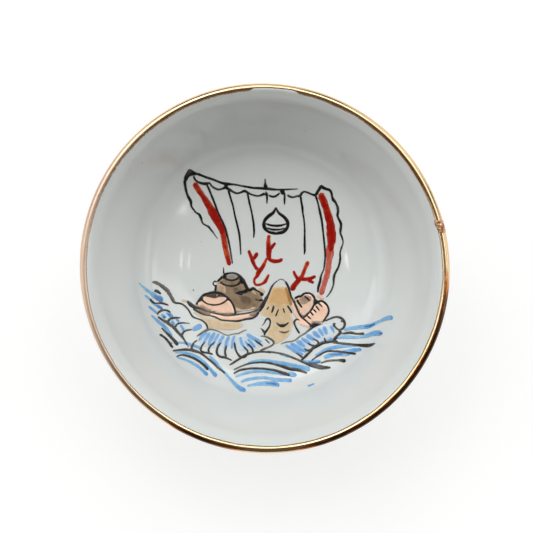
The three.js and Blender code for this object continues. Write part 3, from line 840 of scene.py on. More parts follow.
def bright_gold():
    material, tree = blank("fired_bright_gold")
    place = add(tree, "ShaderNodeTexCoord").outputs["Object"]
    across, around, dark = (
        add(tree, "ShaderNodeAttribute", attribute_name=kept).outputs["Fac"]
        for kept in ("across", "around", "dark")
    )
    hairs = brush_hairs(tree, around, HAIR_RUN, across, BAND_MM / BRUSH_HAIR_MM, 3.0)
    cloud = add(tree, "ShaderNodeTexNoise", {
        "Vector": place, "Scale": per_metre(GOLD_CLOUD_MM), "Detail": 4.0,
    })
    edge = add(tree, "ShaderNodeMath", {0: across, 1: 0.5}, operation="SUBTRACT")
    far = add(tree, "ShaderNodeMath", {0: edge.outputs[0]}, operation="ABSOLUTE")
    worn = add(tree, "ShaderNodeMapRange", {
        "Value": far.outputs[0], "From Min": 0.44, "From Max": 0.5,
    }, interpolation_type="SMOOTHSTEP")
    # Towards the left the film is painted pinker and made rougher: a painted softer sheen, for the dimmer
    # light that the band gets on that side.
    left_painted_tint = add(tree, "ShaderNodeMapRange", {
        "Value": add(tree, "ShaderNodeSeparateXYZ", {0: place}).outputs["X"],
        "From Min": -PINK_FROM_MM * MM, "From Max": -PINK_TO_MM * MM,
    })
    # The dark values turn the film browner and then dark brown: painted dark reflection, where the gold
    # stands for the dark of the room that it mirrors. The brush hairs break it into streaks.
    patchy = add(tree, "ShaderNodeMath", {
        0: hairs.outputs["Fac"], 1: 1.2, 2: dark,
    }, operation="MULTIPLY_ADD")
    painted_brown_reflection, painted_dark_reflection_share = (
        add(tree, "ShaderNodeMapRange", {"Value": patchy.outputs[0], "From Min": low, "From Max": high})
        for low, high in ((0.95, 1.25), (1.25, 1.75))
    )
    film = add(tree, "ShaderNodeMix", {
        0: cloud.outputs["Fac"], 6: linear("#e5c59a"), 7: linear("#efd1a8"),
    }, data_type="RGBA")
    for share, tint in (
        (left_painted_tint, "#e8cab4"), (worn, "#d9ae86"), (painted_brown_reflection, "#d88a52"), (painted_dark_reflection_share, "#5c4634"),
    ):
        film = add(tree, "ShaderNodeMix", {
            0: share.outputs["Result"], 6: film.outputs[2], 7: linear(tint),
        }, data_type="RGBA")
    brushed = add(tree, "ShaderNodeMapRange", {
        "Value": hairs.outputs["Fac"], "To Min": 0.08, "To Max": 0.22,
    })
    rough = add(tree, "ShaderNodeMath", {
        0: left_painted_tint.outputs["Result"], 1: 0.2, 2: brushed.outputs["Result"],
    }, operation="MULTIPLY_ADD")
    bump = add(tree, "ShaderNodeBump", {
        "Height": hairs.outputs["Fac"], "Strength": 0.35, "Distance": 0.00003,
    })
    shader = add(tree, "ShaderNodeBsdfPrincipled", {
        "Base Color": film.outputs[2], "Metallic": 1.0, "Roughness": rough.outputs[0],
        "Normal": bump.outputs["Normal"],
    })
    finish_surface(tree, shader)
    return material


print("a hair of the gilder's brush is", BRUSH_HAIR_MM, "mm wide")

# %% Pooled gold
POOL_LUMP_MM = 0.5


def pooled_gold():
    material, tree = blank("pooled_coppery_gold")
    place = add(tree, "ShaderNodeTexCoord").outputs["Object"]
    cloud = add(tree, "ShaderNodeTexNoise", {
        "Vector": place, "Scale": per_metre(POOL_LUMP_MM), "Detail": 4.0,
    })
    lighter = add(tree, "ShaderNodeMapRange", {
        "Value": cloud.outputs["Fac"], "From Min": 0.35, "From Max": 0.65,
    })
    colour = add(tree, "ShaderNodeMix", {
        0: lighter.outputs["Result"], 6: linear("#8a5030"), 7: linear("#efbf98"),
    }, data_type="RGBA")
    bump = add(tree, "ShaderNodeBump", {
        "Height": cloud.outputs["Fac"], "Strength": 0.6, "Distance": 0.00008,
    })
    shader = add(tree, "ShaderNodeBsdfPrincipled", {
        "Base Color": colour.outputs[2], "Metallic": 0.8, "Roughness": 0.38,
        "Normal": bump.outputs["Normal"],
    })
    finish_surface(tree, shader)
    return material


print("the gold's lumps are", POOL_LUMP_MM, "mm wide")

# %% [markdown]
# ### Overglaze enamels
#
# Black, iron red, blue and tan are glass colours fired onto the glaze. The umber washes and the two
# duller golds are laid the same way here, but they are painted reflections in the powdered gold of
# the cargo: the dark of the room, and a lamp. Thick paint is deep and thin paint lets the white
# through, so each material steps from a thin colour through a normal one to a pooled one. The step
# follows the load of the stroke, less at its edges, and is broken up by the hairs of the brush and
# by a slow cloud. Powdered gold is the exception: its metal grains make a matt, peach-coloured sheen.

# %% Enamel and powdered gold
ENAMEL_CLOUD_MM, BRISTLE_MM = 0.9, 0.22
BRISTLE_RUN, PRESSED_HALF_MM = 0.6, 0.6
STREAKS, CLOUDS = 0.9, 0.9
COVERS, POOLS = (0.1, 0.6), (0.65, 1.0)


def enamel(name, pooled, normal, thin, roughness, edge=0.25, metallic=0.0):
    """A fired colour. edge is how much thinner the paint lies along the border of a stroke."""
    material, tree = blank(name)
    place = add(tree, "ShaderNodeTexCoord").outputs["Object"]
    load, across, lengthwise = (
        add(tree, "ShaderNodeAttribute", attribute_name=kept).outputs["Fac"]
        for kept in ("load", "across", "along")
    )
    hairs = brush_hairs(tree, lengthwise, BRISTLE_RUN, across, PRESSED_HALF_MM / BRISTLE_MM, 2.0)
    cloud = add(tree, "ShaderNodeTexNoise", {
        "Vector": place, "Scale": per_metre(ENAMEL_CLOUD_MM), "Detail": 4.0,
    })
    near_edge = add(tree, "ShaderNodeMath", {0: across, 1: across}, operation="MULTIPLY")
    clouded = load
    for pattern, strength in (
        (near_edge.outputs[0], -edge), (hairs.outputs["Fac"], STREAKS), (cloud.outputs["Fac"], CLOUDS),
    ):
        clouded = add(tree, "ShaderNodeMath", {
            0: pattern, 1: strength, 2: clouded,
        }, operation="MULTIPLY_ADD").outputs[0]
    depth = add(tree, "ShaderNodeMath", {0: clouded, 1: (STREAKS + CLOUDS) / 2}, operation="SUBTRACT")
    colour = linear(thin)
    for (low, high), deeper in ((COVERS, normal), (POOLS, pooled)):
        share = add(tree, "ShaderNodeMapRange", {
            "Value": depth.outputs[0], "From Min": low, "From Max": high,
        })
        colour = add(tree, "ShaderNodeMix", {
            0: share.outputs["Result"], 6: colour, 7: linear(deeper),
        }, data_type="RGBA").outputs[2]
    bump = add(tree, "ShaderNodeBump", {"Height": clouded, "Strength": 0.2, "Distance": 0.00002})
    shader = add(tree, "ShaderNodeBsdfPrincipled", {
        "Base Color": colour, "Roughness": roughness, "IOR": 1.52, "Metallic": metallic,
        "Normal": bump.outputs["Normal"],
    })
    finish_surface(tree, shader)
    return material


print("an enamel streak is", BRISTLE_MM, "mm wide")

# %% The painter's colours
GLAZED = glazed_porcelain()
BISCUIT = bare_porcelain()
GOLD_FILM = bright_gold()
GOLD_POOL = pooled_gold()
BLACK = enamel("black_line_enamel", "#090808", "#181514", "#6e6963", 0.2)
SEA_BLACK = enamel("sea_line_enamel", "#1b1a1a", "#34312f", "#85817b", 0.2)
SHADOW_BROWN = enamel("shadow_brown_enamel", "#4a4039", "#574c44", "#7b6d62", 0.2)
GREY_LINE = enamel("diluted_black_enamel", "#47443f", "#6b665f", "#a9a59d", 0.2)
RED = enamel("iron_red_enamel", "#900500", "#aa0a02", "#dc6c38", 0.16, 0.35)
CORAL_RED = enamel("coral_red_enamel", "#8e0702", "#a60e05", "#de6634", 0.16, 0.45)
WORN_RED = enamel("worn_iron_red_enamel", "#b84335", "#cd5d50", "#dda298", 0.2)
BLUE = enamel("blue_glass_enamel", "#559bdb", "#7db6e6", "#aedaec", 0.12)
DEEP_BLUE = enamel("deep_blue_enamel", "#2a66ad", "#4482c6", "#77b3dc", 0.12)
PERIWINKLE = enamel("periwinkle_enamel", "#6ca3e4", "#86b7ea", "#b6d6ee", 0.12)
PALE_BLUE = enamel("pale_blue_wash", "#cfdfee", "#dde8f1", "#e7edf0", 0.12)
TAN = enamel("tan_wash", "#dcbd94", "#e3c9a6", "#ead8be", 0.25)
DARK_TAN = enamel("orange_tan_wash", "#dba96f", "#e1b682", "#e6c89c", 0.25)
ORANGE_TAN = enamel("orange_edge_wash", "#b0763a", "#bc8a4e", "#d2ab78", 0.25)
# The jar is powdered gold: these two paint its body as painted dark reflection and its darker middle as
# painted shade.
JAR_PAINTED_DARK_GOLD = enamel("jar_gold_painted_dark_reflection", "#846a50", "#9d846a", "#bda68c", 0.25)
JAR_PAINTED_SHADE = enamel("jar_painted_shade_wash", "#5f4a36", "#74604a", "#8f7b65", 0.25)
PALE_GREY = enamel("pale_grey_wash", "#7d766b", "#938c81", "#aaa59c", 0.25)
PEACH_GOLD = enamel("matt_powdered_gold", "#eec5ac", "#f7d1ba", "#ffe3d2", 0.4, 0.1, 1.0)
# Painted dark reflection on the powdered gold of the shells and the hull's rim.
GOLD_PAINTED_DARK_REFLECTION = enamel("powdered_gold_painted_dark_reflection", "#8e7262", "#a68874", "#c0a48f", 0.45, 0.1, 0.5)
# Painted highlight on the jar's powdered gold.
GOLD_PAINTED_HIGHLIGHT = enamel("powdered_gold_painted_highlight", "#b5977f", "#cbab91", "#d8bda6", 0.45, 0.1, 0.6)
print("materials:", len(bpy.data.materials))

# %% [markdown]
# ### Dress the turned pieces
#
# Every piece goes into one list, with the finish that it takes and the solids that it stands for.

# %% The list of dressed pieces
DRESSED = []
for piece, finish, slot, node in (
    (body, BISCUIT, "porcelain", "porcelain_body"),
    (coat, GLAZED, "clear_glaze", "glaze_coat"),
    (well, GLAZED, "clear_glaze", "foot_well_glaze"),
    (gold_band, GOLD_FILM, "bright_gold", "lip_gilding"),
    (lump, GOLD_POOL, "thick_gold", "gilding_join"),
):
    piece.data.materials.append(finish)
    DRESSED.append((piece, slot, [node]))
print("dressed:", len(DRESSED))

# %% [markdown]
# ## The treasure ship
#
# The picture is the traditional ship of good fortune: a sail with red bands, and a hull of waves
# heaped with coral, shells and a cone of cloth. Each stroke is a run of x, y and width, in
# millimetres, read as a painter lays it: from where the brush lands to where it lifts. Washes and
# colours come first and lie lower, and the black lines are drawn over them.

# %% Heights of the paint
LINES = dict(base=0.055, height=0.03, spacing=0.12, rim=0.12)
COLOURS = dict(base=0.034, height=0.022, spacing=0.2, rim=0.2)
UNDER_COLOURS = dict(COLOURS, base=0.02, height=0.02)
WASHES = dict(base=0.008, height=0.012, spacing=0.35, rim=0.45)
OVER_WASHES = dict(base=0.02, height=0.01, spacing=0.25, rim=0.5)
RAGGED, DRY, SMEARED, NEARLY_DRY = 0.06, 0.12, 0.15, 0.16
SEED_STEP = 13


def lay(name, material, slot, nodes, layer, strokes=(), washes=(), ragged=RAGGED):
    """One deposit: its strokes of x, y, width and its filled outlines of x, y."""
    paint = Paint(layer["base"], layer["height"], len(DRESSED) * SEED_STEP)
    for numbers in strokes:
        stroke(paint, numbers, ragged)
    for numbers in washes:
        wash(paint, numbers, ragged, layer["spacing"], layer["rim"])
    DRESSED.append((paint.piece(name, material), slot, nodes))


def black_lines(name, node, strokes, blots=()):
    lay(name, BLACK, "black_enamel", [node], LINES, strokes, blots)


def sea_lines(name, node, strokes):
    lay(name, SEA_BLACK, "black_enamel", [node], LINES, strokes)


print("the highest line stands", round(LINES["base"] + LINES["height"], 3), "mm above the glaze")

# %% [markdown]
# ### The sail
#
# The yard slopes down to the right and the cloth hangs from it in swags, with a black knot between
# each two. The left edge and the right edge are one long wavering line each, and seams run down.

# %% The sail: its yard, swags, edges and seams
black_lines("sail_line_work", "sail_lines", [
    [-11.2, 15.7, .5, -10, 15.2, .4, -8.5, 14.7, .4, -7.2, 14.2, .4, -6.3, 14, .5, -5, 13.9, .35,
     -3.5, 13.65, .35, -2, 13.4, .4, -1, 13.35, .4, .2, 13.3, .5, 2, 13.15, .35, 4, 13.2, .3,
     5.7, 13.3, .12],
    [-11.7, 15.4, .3, -11.6, 14.9, .35, -11.2, 14.4, .35, -10.5, 14.1, .45, -9.7, 14, .5,
     -9.1, 14.1, .35, -8.8, 13.7, .35, -8.3, 13.3, .35, -7.6, 13.05, .35, -6.9, 13.2, .35,
     -6.4, 13.4, .6, -5.9, 13.1, .45, -5.3, 12.75, .4, -4.6, 12.45, .35, -3.9, 12.6, .35,
     -3.3, 12.85, .45, -2.8, 12.6, .45, -2.2, 12.3, .3, -1.2, 12.05, .3, -.5, 12.2, .35, .1, 12.5, .6],
    [.7, 12.2, .3, 1.4, 11.95, .35, 2, 12.1, .35, 2.6, 12.6, .3],
    [.15, 15, .25, .15, 14.4, .3, .2, 13.7, .7, .3, 13.3, .9],
    [.4, 12.5, .35, .45, 12, .35, .45, 11.3, .3, .4, 10.7, .15],
    [3.3, 12.8, .4, 3.4, 12.2, .35, 3.4, 11.4, .35, 3.4, 10.6, .15],
    [-13.2, 14.6, .5, -13.1, 13.6, .45, -12.9, 12.6, .4, -12.6, 11.8, .45, -12.2, 11.1, .5,
     -12.1, 10.3, .35, -11.8, 9.8, .35, -11.3, 9.2, .3, -10.8, 8.9, .45, -10.5, 8.3, .4, -10.3, 7.6, .3,
     -9.9, 7.2, .3, -9.3, 6.9, .35, -8.8, 6.3, .3, -8.2, 5.5, .2, -7.7, 4.8, .12],
    [-9.6, 14, .35, -9.1, 12.9, .35, -8.7, 11.9, .35, -8.1, 10.4, .35, -7.6, 9.1, .3, -6.8, 7.4, .35,
     -6.3, 6, .35, -5.7, 3.3, .3, -5.3, .7, .2],
    [-6, 13, .35, -5.7, 12, .35, -5.2, 10.3, .3, -4.9, 8.8, .3, -4.4, 6.8, .35, -4.1, 5.2, .35,
     -3.9, 2.2, .2],
    [-2.8, 12.5, .35, -2.5, 11, .35, -2.1, 9.3, .3, -1.8, 7.5, .35, -1.7, 6, .35, -1.8, 5, .2],
    [3.8, 12.3, .35, 4.3, 12, .35, 4.8, 11.9, .35, 5.5, 12.1, .35, 6, 12.15, .45, 6.3, 12.6, .4,
     6.7, 12.85, .35, 7.3, 12.7, .35, 8, 12.4, .35, 8.6, 12.3, .5, 9, 12.9, .5, 9.4, 13.5, .6,
     9.6, 13.75, .55, 9.9, 13.5, .55, 10.4, 13.3, .45, 11, 13.1, .45, 11.3, 12.6, .4, 11.4, 12, .35,
     11.6, 11.5, .55, 12, 11, .4, 12.3, 10.3, .45, 12.4, 9.6, .45, 12.3, 8.9, .4, 12.5, 8.3, .4,
     12.8, 7.7, .45, 12.9, 7.2, .45, 12.8, 6.4, .4, 12.8, 5.8, .35, 13.1, 5, .3, 13.2, 4.2, .25,
     12.9, 3.3, .3, 12.7, 2.5, .3, 12.7, 1.5, .35, 12.4, .2, .35, 11.8, -.9, .4, 11.6, -1.6, .4,
     11.5, -2.8, .3, 11, -4, .25, 10.3, -4.9, .15],
    [6.1, 12.1, .4, 6.2, 11.3, .35, 6.4, 10.2, .4, 6.5, 9.2, .3, 6.7, 8, .3, 6.8, 6.5, .3, 6.8, 5, .35,
     6.8, 3.7, .4, 6.8, 2.9, .35, 6.7, 2.2, .15],
    [8.6, 12.2, .4, 8.9, 11.4, .35, 9.2, 10.2, .35, 9.4, 9.3, .4, 9.7, 7.8, .35, 9.9, 6, .35,
     10.1, 4, .35, 10.2, 2.3, .3, 10.1, .8, .3, 9.9, -.3, .25, 9.5, -1.2, .3, 9.3, -2.2, .45,
     9, -3.2, .45, 8.9, -4.1, .3],
], blots=[
    [-12.6, 16.3, -13, 15.7, -13.3, 15, -13.2, 14.2, -12.9, 14.3, -12.5, 15, -12, 15.3, -11.4, 15.4,
     -10.8, 15.6, -11.5, 16, -12.2, 16.4],
    [-6.7, 14, -6.55, 13.3, -6.3, 13.2, -6, 13.9],
    [.3, 12.95, -.05, 12.2, .7, 12.2],
    [2.5, 13.1, 2.8, 12.4, 3.2, 12.35, 3.4, 12.7, 3.3, 13.1],
])

# %% [markdown]
# ### The wish jewel
#
# A wish jewel stands on the sail: an onion-shaped drop with bands at its foot, one of the oldest
# signs of good fortune. It is drawn in the same black as the sail, with a loaded brush.

# %% The wish jewel
black_lines("wish_jewel_line_work", "wish_jewel", [
    [1.95, 10.2, .25, 1.5, 9.3, .5, .6, 8.6, .6, 0, 7.8, .5, 0, 6.9, .6, .7, 6.1, .5, 2.1, 5.8, .45],
    [1.95, 10.2, .25, 2.4, 9.3, .45, 3.3, 8.6, .55, 3.9, 7.8, .6, 3.9, 6.9, .5, 3.2, 6.1, .6,
     1.8, 5.8, .45],
    [.1, 7.5, .2, 1, 7.2, .4, 1.95, 7.1, .42, 2.9, 7.2, .35, 3.8, 7.5, .2],
    [.4, 6.75, .2, 1.2, 6.5, .35, 1.95, 6.45, .38, 2.7, 6.5, .3, 3.5, 6.75, .2],
])

# %% [markdown]
# ### Red bands and corals
#
# Iron red is opaque where it is thick and turns orange where it thins, so the edges and the ends of
# each stroke glow. Low on the right band the red is worn down to a dull rose.

# %% Red bands
lay("red_band_left_side", RED, "red_enamel", ["red_band_left"], COLOURS, [
    [-11.6, 14.2, .9, -11.2, 13.4, .9, -10.3, 12.1, .9, -9.4, 10.7, 1.1, -8.7, 9.5, 1.4, -8, 8.2, 1.4,
     -7.3, 7, 1.3, -6.9, 6, 1, -6.5, 3.5, .9, -6.2, 2.2, .85, -5.8, .4, .8],
])
lay("red_band_right_side", RED, "red_enamel", ["red_band_right"], COLOURS, [
    [9.1, 12.4, .7, 9.5, 12.2, 1.2, 10, 11.2, 1.2, 10.4, 10, 1.2, 10.8, 8.7, 1.2, 11.1, 7.5, 1.4,
     11.2, 6.3, 1.5, 11.3, 5, 1.6, 11.2, 4, 1.3, 11.15, 3.3, .9, 11.1, 2.7, .4],
])
lay("red_band_right_worn_end", WORN_RED, "red_enamel", [], UNDER_COLOURS, [
    [11.15, 4.2, 1, 11, 3.1, 1.3, 10.95, 2.2, 1.2, 10.8, .8, 1, 10.5, -1, .95, 10, -2.6, .9,
     9.4, -4.5, .75],
], ragged=DRY)

# %% Corals
lay("red_coral_left_branches", CORAL_RED, "red_enamel", ["red_coral_left"], COLOURS, [
    [.85, 5.6, .65, .7, 4.8, .6, .7, 3.9, .85, .8, 3.2, .95, .75, 2.4, .9, .8, 1.8, .85, .9, 1.5, .7,
     1.4, 1.2, .7, 2.2, 1.15, .65, 2.7, 1.3, .6, 3.1, 1.6, .55],
    [1.9, 4.3, .5, 1.4, 3.7, .55, 1, 3.1, .6],
    [.5, 1.8, .4, .1, .9, .55, -.4, 0, .7, -.9, -.6, .85, -1.2, -1.3, .65, -1.6, -1.8, .45,
     -1.7, -2.3, .45, -1.4, -2.8, .45, -.8, -2.8, .5, -.3, -2.6, .45, .1, -2.3, .6, .4, -1.8, .55,
     .8, -1, .35],
    [-2.6, 3, .55, -2.4, 2.4, .6, -2.1, 1.7, .7, -1.9, 1.1, .65, -1.6, .4, .6, -1.1, -.3, .55],
    [-1.1, 2.6, .55, -1.4, 2.1, .6, -1.8, 1.4, .55],
])
lay("red_coral_right_branches", CORAL_RED, "red_enamel", ["red_coral_right"], COLOURS, [
    [7.4, 1.2, .6, 7.2, .8, .7, 6.9, .1, .6, 6.6, -.6, .6, 6.3, -1.3, .7, 5.9, -1.8, .85, 5.5, -2.3, .85,
     4.9, -3, .95, 4.6, -3.8, .8],
    [4.85, -.4, .35, 5, -.8, .45, 5.3, -1.4, .55, 5.7, -1.9, .7],
    [6, -1.8, .7, 7, -1.85, .65, 7.8, -1.7, .6, 8.6, -1.3, .55],
    [7.2, -1.95, .6, 7.7, -2.2, .55, 8.3, -2.5, .45],
])

# %% [markdown]
# ### Washes of the cargo
#
# The shells are washed with powdered gold, and the cone and the hull with tan. The lidded jar is the
# same gold, washed in umber as painted dark reflection, with lighter gold as painted highlights. A
# second wash darkens each: on the tan cone where the painter went over it, and on the gold shells,
# the hull's gold rim and the jar as painted shade and dark reflection.

# %% Shells and jar: the washes
lay("gold_shell_left_wash", PEACH_GOLD, "shell_gold", ["gold_shell_left"], WASHES, washes=[
    [-11.3, -6.3, -10.8, -5.1, -9.8, -4.5, -8.3, -4.2, -7, -4.5, -6, -5.2, -5.3, -6.2, -4.9, -7.5,
     -5.6, -7.8, -7, -7.8, -8.8, -7.4, -10.4, -6.9],
])
# The jar is the same powdered gold as the shells; its umber here is painted dark reflection.
lay("grey_shell_wash", JAR_PAINTED_DARK_GOLD, "umber_enamel", ["grey_shell"], WASHES, washes=[
    [-8, -3.9, -7.9, -2.6, -7, -1.7, -5.9, -.95, -4.6, -1, -3.8, -1.8, -3, -3.1, -2.2, -3.6, -1.2, -3.9,
     -.4, -4.6, -.3, -5.6, -.8, -6.6, -2, -7.1, -3.6, -7.3, -4.9, -7.5, -5.1, -6.5, -5.8, -5.4,
     -6.7, -4.6, -7.4, -4.2],
])
# The jar's darker middle: painted shade.
lay("jar_shade", JAR_PAINTED_SHADE, "umber_enamel", [], OVER_WASHES, washes=[
    [-4.4, -4.6, -4.1, -5.6, -3.4, -6.3, -2.4, -6.3, -1.9, -5.7, -2.1, -4.9, -2.9, -4.5, -3.7, -4.4],
    [-5.6, -3.1, -5.2, -4.1, -4.4, -4, -4.2, -3.1],
])
lay("jar_lid_light", PALE_GREY, "umber_enamel", [], OVER_WASHES, washes=[
    [-6.3, -1.5, -5.8, -1.9, -5.2, -1.95, -4.6, -1.6, -4.7, -1.2, -5.4, -.95, -6.1, -1.1],
])
# Lighter gold patches on the jar: painted highlights.
lay("jar_painted_gold_highlights", GOLD_PAINTED_HIGHLIGHT, "shell_gold", [], OVER_WASHES, washes=[
    [-8, -3, -7.4, -2.7, -6.7, -2.9, -6.5, -3.6, -6.6, -4.3, -7.2, -4.1, -7.9, -3.8],
    [-4.9, -7.3, -5, -6.6, -4, -6.9, -2.8, -6.9, -1.7, -6.5, -1.4, -6.7, -2.6, -7.2],
    [-2.2, -4, -1.8, -4.3, -1.3, -4.5, -1.6, -4, -1.9, -3.8],
])
lay("gold_shell_front_wash", PEACH_GOLD, "shell_gold", ["gold_shell_right_front"], WASHES, washes=[
    [4.9, -5.2, 5.6, -4.75, 6.2, -4.6, 6.6, -4.25, 7.3, -4.15, 7.9, -4.4, 8.3, -4.9, 8.4, -5.5, 8.2, -6.2,
     7.9, -6.8, 7.5, -7.3, 7, -7.8, 6.4, -8.1, 5.9, -7.4, 5.4, -6.3],
])
lay("gold_shell_rear_wash", PEACH_GOLD, "shell_gold", ["gold_shell_right_rear"], WASHES, washes=[
    [8.4, -6.1, 8.9, -5.6, 9.6, -5.5, 10.2, -5.9, 10.6, -6.5, 10.7, -7.2, 10.5, -7.8, 10.2, -8.2,
     9.9, -8.7, 9.3, -9.1, 8.2, -9, 7.6, -9.5, 6.5, -8.3, 7.4, -7.4],
])
lay("shell_gold_strips", PEACH_GOLD, "shell_gold", [], WASHES, [
    [4.9, -5.7, .5, 5.1, -6.6, .8, 5.4, -7.6, 1, 6, -8.4, .9, 6.8, -9.2, .8, 7.5, -9.8, .6],
    [5.4, -8.7, .35, 6.1, -9.2, .4, 6.7, -9.7, .35],
    [8.6, -4.4, .5, 9.3, -4.8, .55, 9.9, -5.3, .45],
    [10.2, -8.2, .5, 10.4, -8.4, .5],
])
# Darker patches on the gold shells: painted dark reflection.
lay("shell_gold_shade", GOLD_PAINTED_DARK_REFLECTION, "shell_gold", [], OVER_WASHES, washes=[
    [5.8, -5, 6.3, -4.7, 7, -4.5, 7.7, -4.7, 7.8, -5.2, 7.3, -5.7, 6.7, -6, 6.1, -5.9],
    [-10.9, -6.3, -10.3, -6.2, -9.6, -6.7, -8.9, -7, -9.3, -7.3, -10.2, -7],
])

# %% Cone and hull: the washes
lay("tan_cone_wash", TAN, "tan_enamel", ["tan_cone"], WASHES, washes=[
    [1.4, -3.2, 3.8, -3.2, 4.2, -4.3, 4.5, -5.6, 4.8, -6.6, 4.6, -7.6, 4.8, -9.3, 4.3, -10.9, 3.5, -11.9,
     1.9, -12.7, 1.3, -11.9, .3, -11.1, 1, -9.6, .9, -8.6, 0, -8.1, -.7, -7.7, -.1, -6.4, .6, -5],
])
lay("tan_cone_edge_wash", ORANGE_TAN, "tan_enamel", [], dict(WASHES, base=0.03), [
    [3.5, -3.2, .35, 3.9, -4.2, .5, 4.2, -5.2, .55, 4.5, -6.2, .45],
])
lay("tan_cone_upper_wash", DARK_TAN, "tan_enamel", [], OVER_WASHES, washes=[
    [1.5, -3.3, 3.7, -3.3, 4.1, -4.4, 4.4, -5.7, 4.2, -6.4, 3.4, -6.2, 2.4, -6.4, 1.4, -6.1, .4, -5.9,
     .8, -4.9],
])
lay("gold_rim_stroke", PEACH_GOLD, "shell_gold", ["gold_rim"], WASHES, [
    [-11.9, -6.7, .35, -10.6, -7.3, .5, -9.2, -7.75, .6, -8, -8.15, .75, -6.2, -8.45, .85,
     -4.4, -8.4, .85, -2.8, -8.05, .75, -1.6, -7.6, .7, -.9, -7, .5],
])
# The dark ends of the hull's gold rim: painted dark reflection.
lay("gold_rim_shade", GOLD_PAINTED_DARK_REFLECTION, "shell_gold", [], OVER_WASHES, [
    [-12.2, -6.4, .3, -11.2, -7.1, .45, -10, -7.5, .45, -9, -7.8, .3],
    [-2.6, -7.9, .3, -1.7, -7.7, .55, -1, -7.2, .5, -.5, -6.6, .3],
])
lay("tan_hull_wash", TAN, "tan_enamel", ["tan_hull"], WASHES, washes=[
    [-12, -7.4, -11, -8.2, -10.1, -8.9, -9.4, -9.9, -8, -10.3, -6.2, -10.5, -4.6, -10.3, -3.6, -9.7,
     -3.9, -9.1, -5, -9, -7.2, -8.85, -8.4, -8.5, -9.8, -8.1, -11.2, -7.4],
])
lay("tan_smears", TAN, "tan_enamel", [], WASHES, [
    [-14, -5.4, .3, -13.5, -5.5, .4, -13, -5.6, .3],
    [-1.1, -3.5, .5, -.5, -3.8, .7, .2, -4, .5],
], ragged=SMEARED)

# %% [markdown]
# ### Lines of the cargo
#
# The black brush comes last. It outlines the cargo with one line that swells at each turn, and fills
# the small shadows where two things meet.

# %% Shells: the lines
black_lines("gold_shell_left_line_work", "gold_shell_left_lines", [
    [-11.5, -6.2, .35, -10.9, -5.3, .35, -10.3, -4.6, .4, -9.3, -4.2, .4, -8.2, -4.05, .4, -7.2, -4.3, .4,
     -6.4, -4.8, .4, -5.6, -5.6, .35, -5.1, -6.5, .35, -4.9, -7.3, .35, -4.8, -7.9, .4],
    [-10.6, -5.2, .35, -9.8, -5.9, .28, -8.6, -6.2, .3, -7.6, -6.1, .28, -6.7, -5.7, .3, -6.1, -5.1, .4],
], blots=[
    [-11, -5.7, -10.9, -5.2, -10.4, -4.8, -10.2, -5.1, -10.5, -5.5],
    [-6.3, -5.4, -6.2, -4.9, -5.7, -5.2, -5.6, -5.6],
])
lay("gold_shell_left_shadow", SHADOW_BROWN, "black_enamel", [], COLOURS, washes=[
    [-10.6, -4.9, -9.8, -4.3, -8.3, -4.05, -7, -4.3, -6.1, -5, -6.5, -4.95, -7.2, -4.85, -7.7, -4.9,
     -8.3, -5.1, -9.1, -4.95, -9.9, -4.8],
])
black_lines("grey_shell_line_work", "grey_shell_lines", [
    [-6.85, .2, .12, -6.8, -.5, .22, -6.8, -1, .35],
    [-6.9, -1.2, .5, -6.3, -.95, .4, -5.3, -.8, .3, -4.4, -1.1, .4, -3.7, -1.9, .6, -3.2, -2.7, .55,
     -2.9, -3.4, .6, -2.4, -3.7, .5, -1.9, -3.4, .5, -1.2, -3.8, .3, -.6, -4.1, .3],
    [-6.6, -1.8, .35, -5.5, -2.05, .3, -4.6, -1.8, .35, -4.2, -1.4, .3],
    [-7.4, -2.2, .3, -6.8, -2.75, .35, -5.5, -3, .35, -4.6, -2.8, .35, -3.9, -2.2, .5],
    [-6.9, -1.3, .4, -7.5, -1.9, .4, -7.9, -2.3, .35],
    [-7.9, -2.4, .3, -8.3, -2.2, .25, -8.6, -2.6, .25, -8.3, -3, .25, -8, -2.8, .3],
    [-8.1, -2.8, .35, -8.2, -3.5, .35, -8.3, -4.1, .35],
    [-5, -4.1, .2, -4.4, -4.3, .35, -3.6, -4.4, .4],
    [-1.6, -5.2, .25, -.9, -5.4, .3, -.2, -5.3, .45],
], blots=[
    [-6.95, -1.1, -7, -1.7, -6.5, -1.8, -6.3, -1.4, -6.4, -1],
    [-4.3, -1.7, -4.1, -2.5, -3.6, -2.7, -3.3, -2.4, -3.7, -1.7],
    [-4.9, -4.2, -4.2, -3.8, -3.4, -3.6, -2.9, -3.1, -2.4, -3.6, -2.8, -4.1, -3.4, -4.3, -4.2, -4.3],
    [-.8, -4.2, -.5, -4, -.1, -4.3, -.3, -4.7, -.7, -4.6],
])
